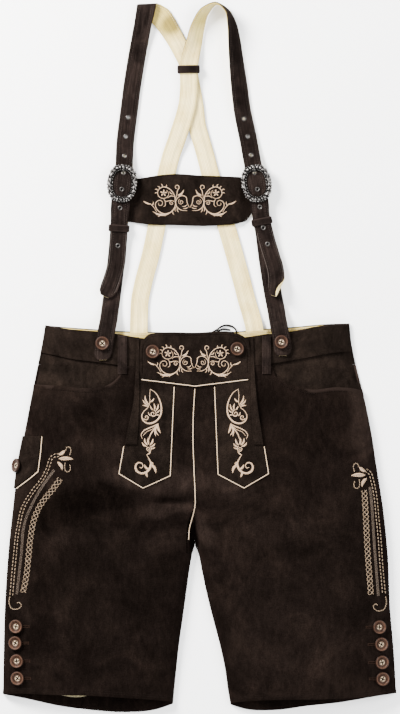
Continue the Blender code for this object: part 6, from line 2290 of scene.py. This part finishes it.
def grooves():
    """Painted shade: dark lines where the sewn edges of the flap, the pockets and the seat seam
    sink.
    """
    line = beside_mm(FLAP_ROUTE, -4.3)
    lines = [(line[line[:, 1] > -24], BAND_LIFT)]
    for side in (-1, 1):
        x = np.linspace(118, 214, 90) * side
        lines.append((np.stack([x, pocket[side](x * MM) / MM - 6.0], -1), 0.0003))
    parts = []
    for xy, lift in lines:
        points, normals = front_line(xy, lift - 0.00002)
        parts.append(running(points, normals, 0.0022, 0.0, 0.00042, 0.00007))
    for xy, half in SEAT_CREASE_SHADE:
        points, normals = front_line(xy, -0.00005)
        parts.append(running(points, normals, 0.0022, 0.0, half, 0.00030))
    return parts


def loop_rows(side):
    """Rows down a belt loop, which stands off between its ends, and its bar tacks."""
    top, bottom, near, far = BELT_LOOPS[side]
    rows = []
    for x in (near + side * 1.9, far - side * 1.9):
        y = np.linspace(top - 1.5, bottom + 1.5, 60)
        lift = loop_lift((y - bottom) / (top - bottom))
        points, normals = on_front(x * MM + 0 * y, y * MM, lift + 0.00002)
        rows.append(running(points, normals, 0.0024, 0.0011))
    for y in (top - 3.0, bottom + 3.0):
        rows += bar_tack(near + side * 2.6, y, far - side * 2.6, y, BAND_LIFT + 0.0002, 0.45)
    return rows


def pocket_rows():
    """Two rows inside the knife pocket's inner and lower edges, one at its mouth."""
    (x0, y0), (x1, y1) = KNIFE_EDGE
    rows = []
    for inset in (1.8, 4.6):
        route = [(x0 - inset, y0 - 2), (x1 - inset, y1 + inset * 0.4)]
        for share in (0.3, 0.6, 0.85):
            x = x1 + (side_left(KNIFE_SEAM_Y) / MM - x1) * share
            route.append((x, knife_bottom(x * MM) / MM + inset * 1.2))
        rows.append(row(route, BAND_LIFT))
    rows.append(row([(x0 - 3, y0 - 2.4), (-248, y0 - 2.4)], BAND_LIFT))
    return rows


def buttonholes():
    """Worked buttonholes that reach out from under the leg buttons."""
    edging, slits = [], []
    place = above_front(0.00002)
    for name, x, y, _, _ in BUTTONS:
        if not name.startswith("leg"):
            continue
        side = -1 if x < 0 else 1
        near, far = x - side * 6, x - side * 18.5
        for rise in (-1.3, 1.3):
            path = ((near, y + rise), (far, y + rise * 0.9))
            edging += satin(path, (0.85, 0.85), place, 2, 0.62, 0.00045, 0, 0.00026)
        end = ((far, y - 1.9), (far, y + 1.9))
        edging += satin(end, (0.7, 0.7), place, 2, 0.55, 0.00045, 0, 0.00026)
        # Painted shade inside each slit.
        slit = ((near, y), (far + side, y))
        slits += satin(slit, (0.3, 0.3), place, 2, 0.5, 0.0001, 0, 0.00026)
    stitch_mesh("buttonholes", edging, HOLE_SEWING)
    stitch_mesh("buttonhole_slits", slits, SHADE_LINE)


stitch_mesh("body_stitches", body_rows(), SEWING)
stitch_mesh("flap_stitches", flap_rows(), SEWING)
for side, word in SIDES:
    stitch_mesh("tab_stitches_" + word, tab_rows(side), SEWING)
    stitch_mesh("loop_stitches_" + word, loop_rows(side), SEWING)
stitch_mesh("pocket_stitches", pocket_rows(), SEWING)
# Painted shade in the sunk seams and at the crotch.
stitch_mesh("seam_groove_shade", grooves(), SHADE_LINE)
buttonholes()


# ---------------------------------------------------------------- stage

VIEW_HEIGHT = 1.0353       # what the camera's view covers, from the hems to the shoulders
VIEW_CENTRE = (0.0004, 0.0007)
LENS, SENSOR = 250.0, 36.0
FLOOR_SIZE, FLOOR_TOP = 30, -0.0002
# x, y, z, size, watts, colour: the main light, one for the shadows, one from the hems
LIGHTS = [
    (-1.6, 1.5, 1.3, 0.9, 480, (1.0, 0.98, 0.95)),
    (1.9, 0.6, 1.9, 1.6, 125, (0.96, 0.98, 1.0)),
    (0.2, -2.0, 1.8, 1.6, 80, (1.0, 1.0, 1.0)),
]


def build_stage():
    """A plain floor, a camera straight above, three soft lights and a white sky."""
    bpy.ops.mesh.primitive_plane_add(size=1)
    ground = bpy.context.object
    ground.name = "floor"
    spread = Matrix.Diagonal((FLOOR_SIZE, FLOOR_SIZE, 1, 1))
    ground.data.transform(spread @ Matrix.Translation((0, 0, FLOOR_TOP)))
    ground.data.materials.append(plain_floor())
    camera = linked("camera", bpy.data.cameras.new("camera"))
    camera.data.lens, camera.data.sensor_width = LENS, SENSOR
    camera.location = (*VIEW_CENTRE, VIEW_HEIGHT * LENS / SENSOR)
    camera.data.clip_end = 100
    bpy.context.scene.camera = camera
    for x, y, z, size, power, colour in LIGHTS:
        light = linked("light", bpy.data.lights.new("light", "AREA"))
        light.data.size, light.data.energy, light.data.color = size, power, colour
        light.location = (x, y, z)
        light.rotation_euler = (-Vector((x, y, z))).to_track_quat("-Z", "Y").to_euler()
    world = bpy.data.worlds.new("studio")
    bpy.context.scene.world = world
    world.use_nodes = True
    sky = world.node_tree.nodes["Background"]
    sky.inputs["Color"].default_value = (1, 1, 1, 1)
    sky.inputs["Strength"].default_value = 1.35


build_stage()
for piece in PIECES:
    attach(piece, "root")
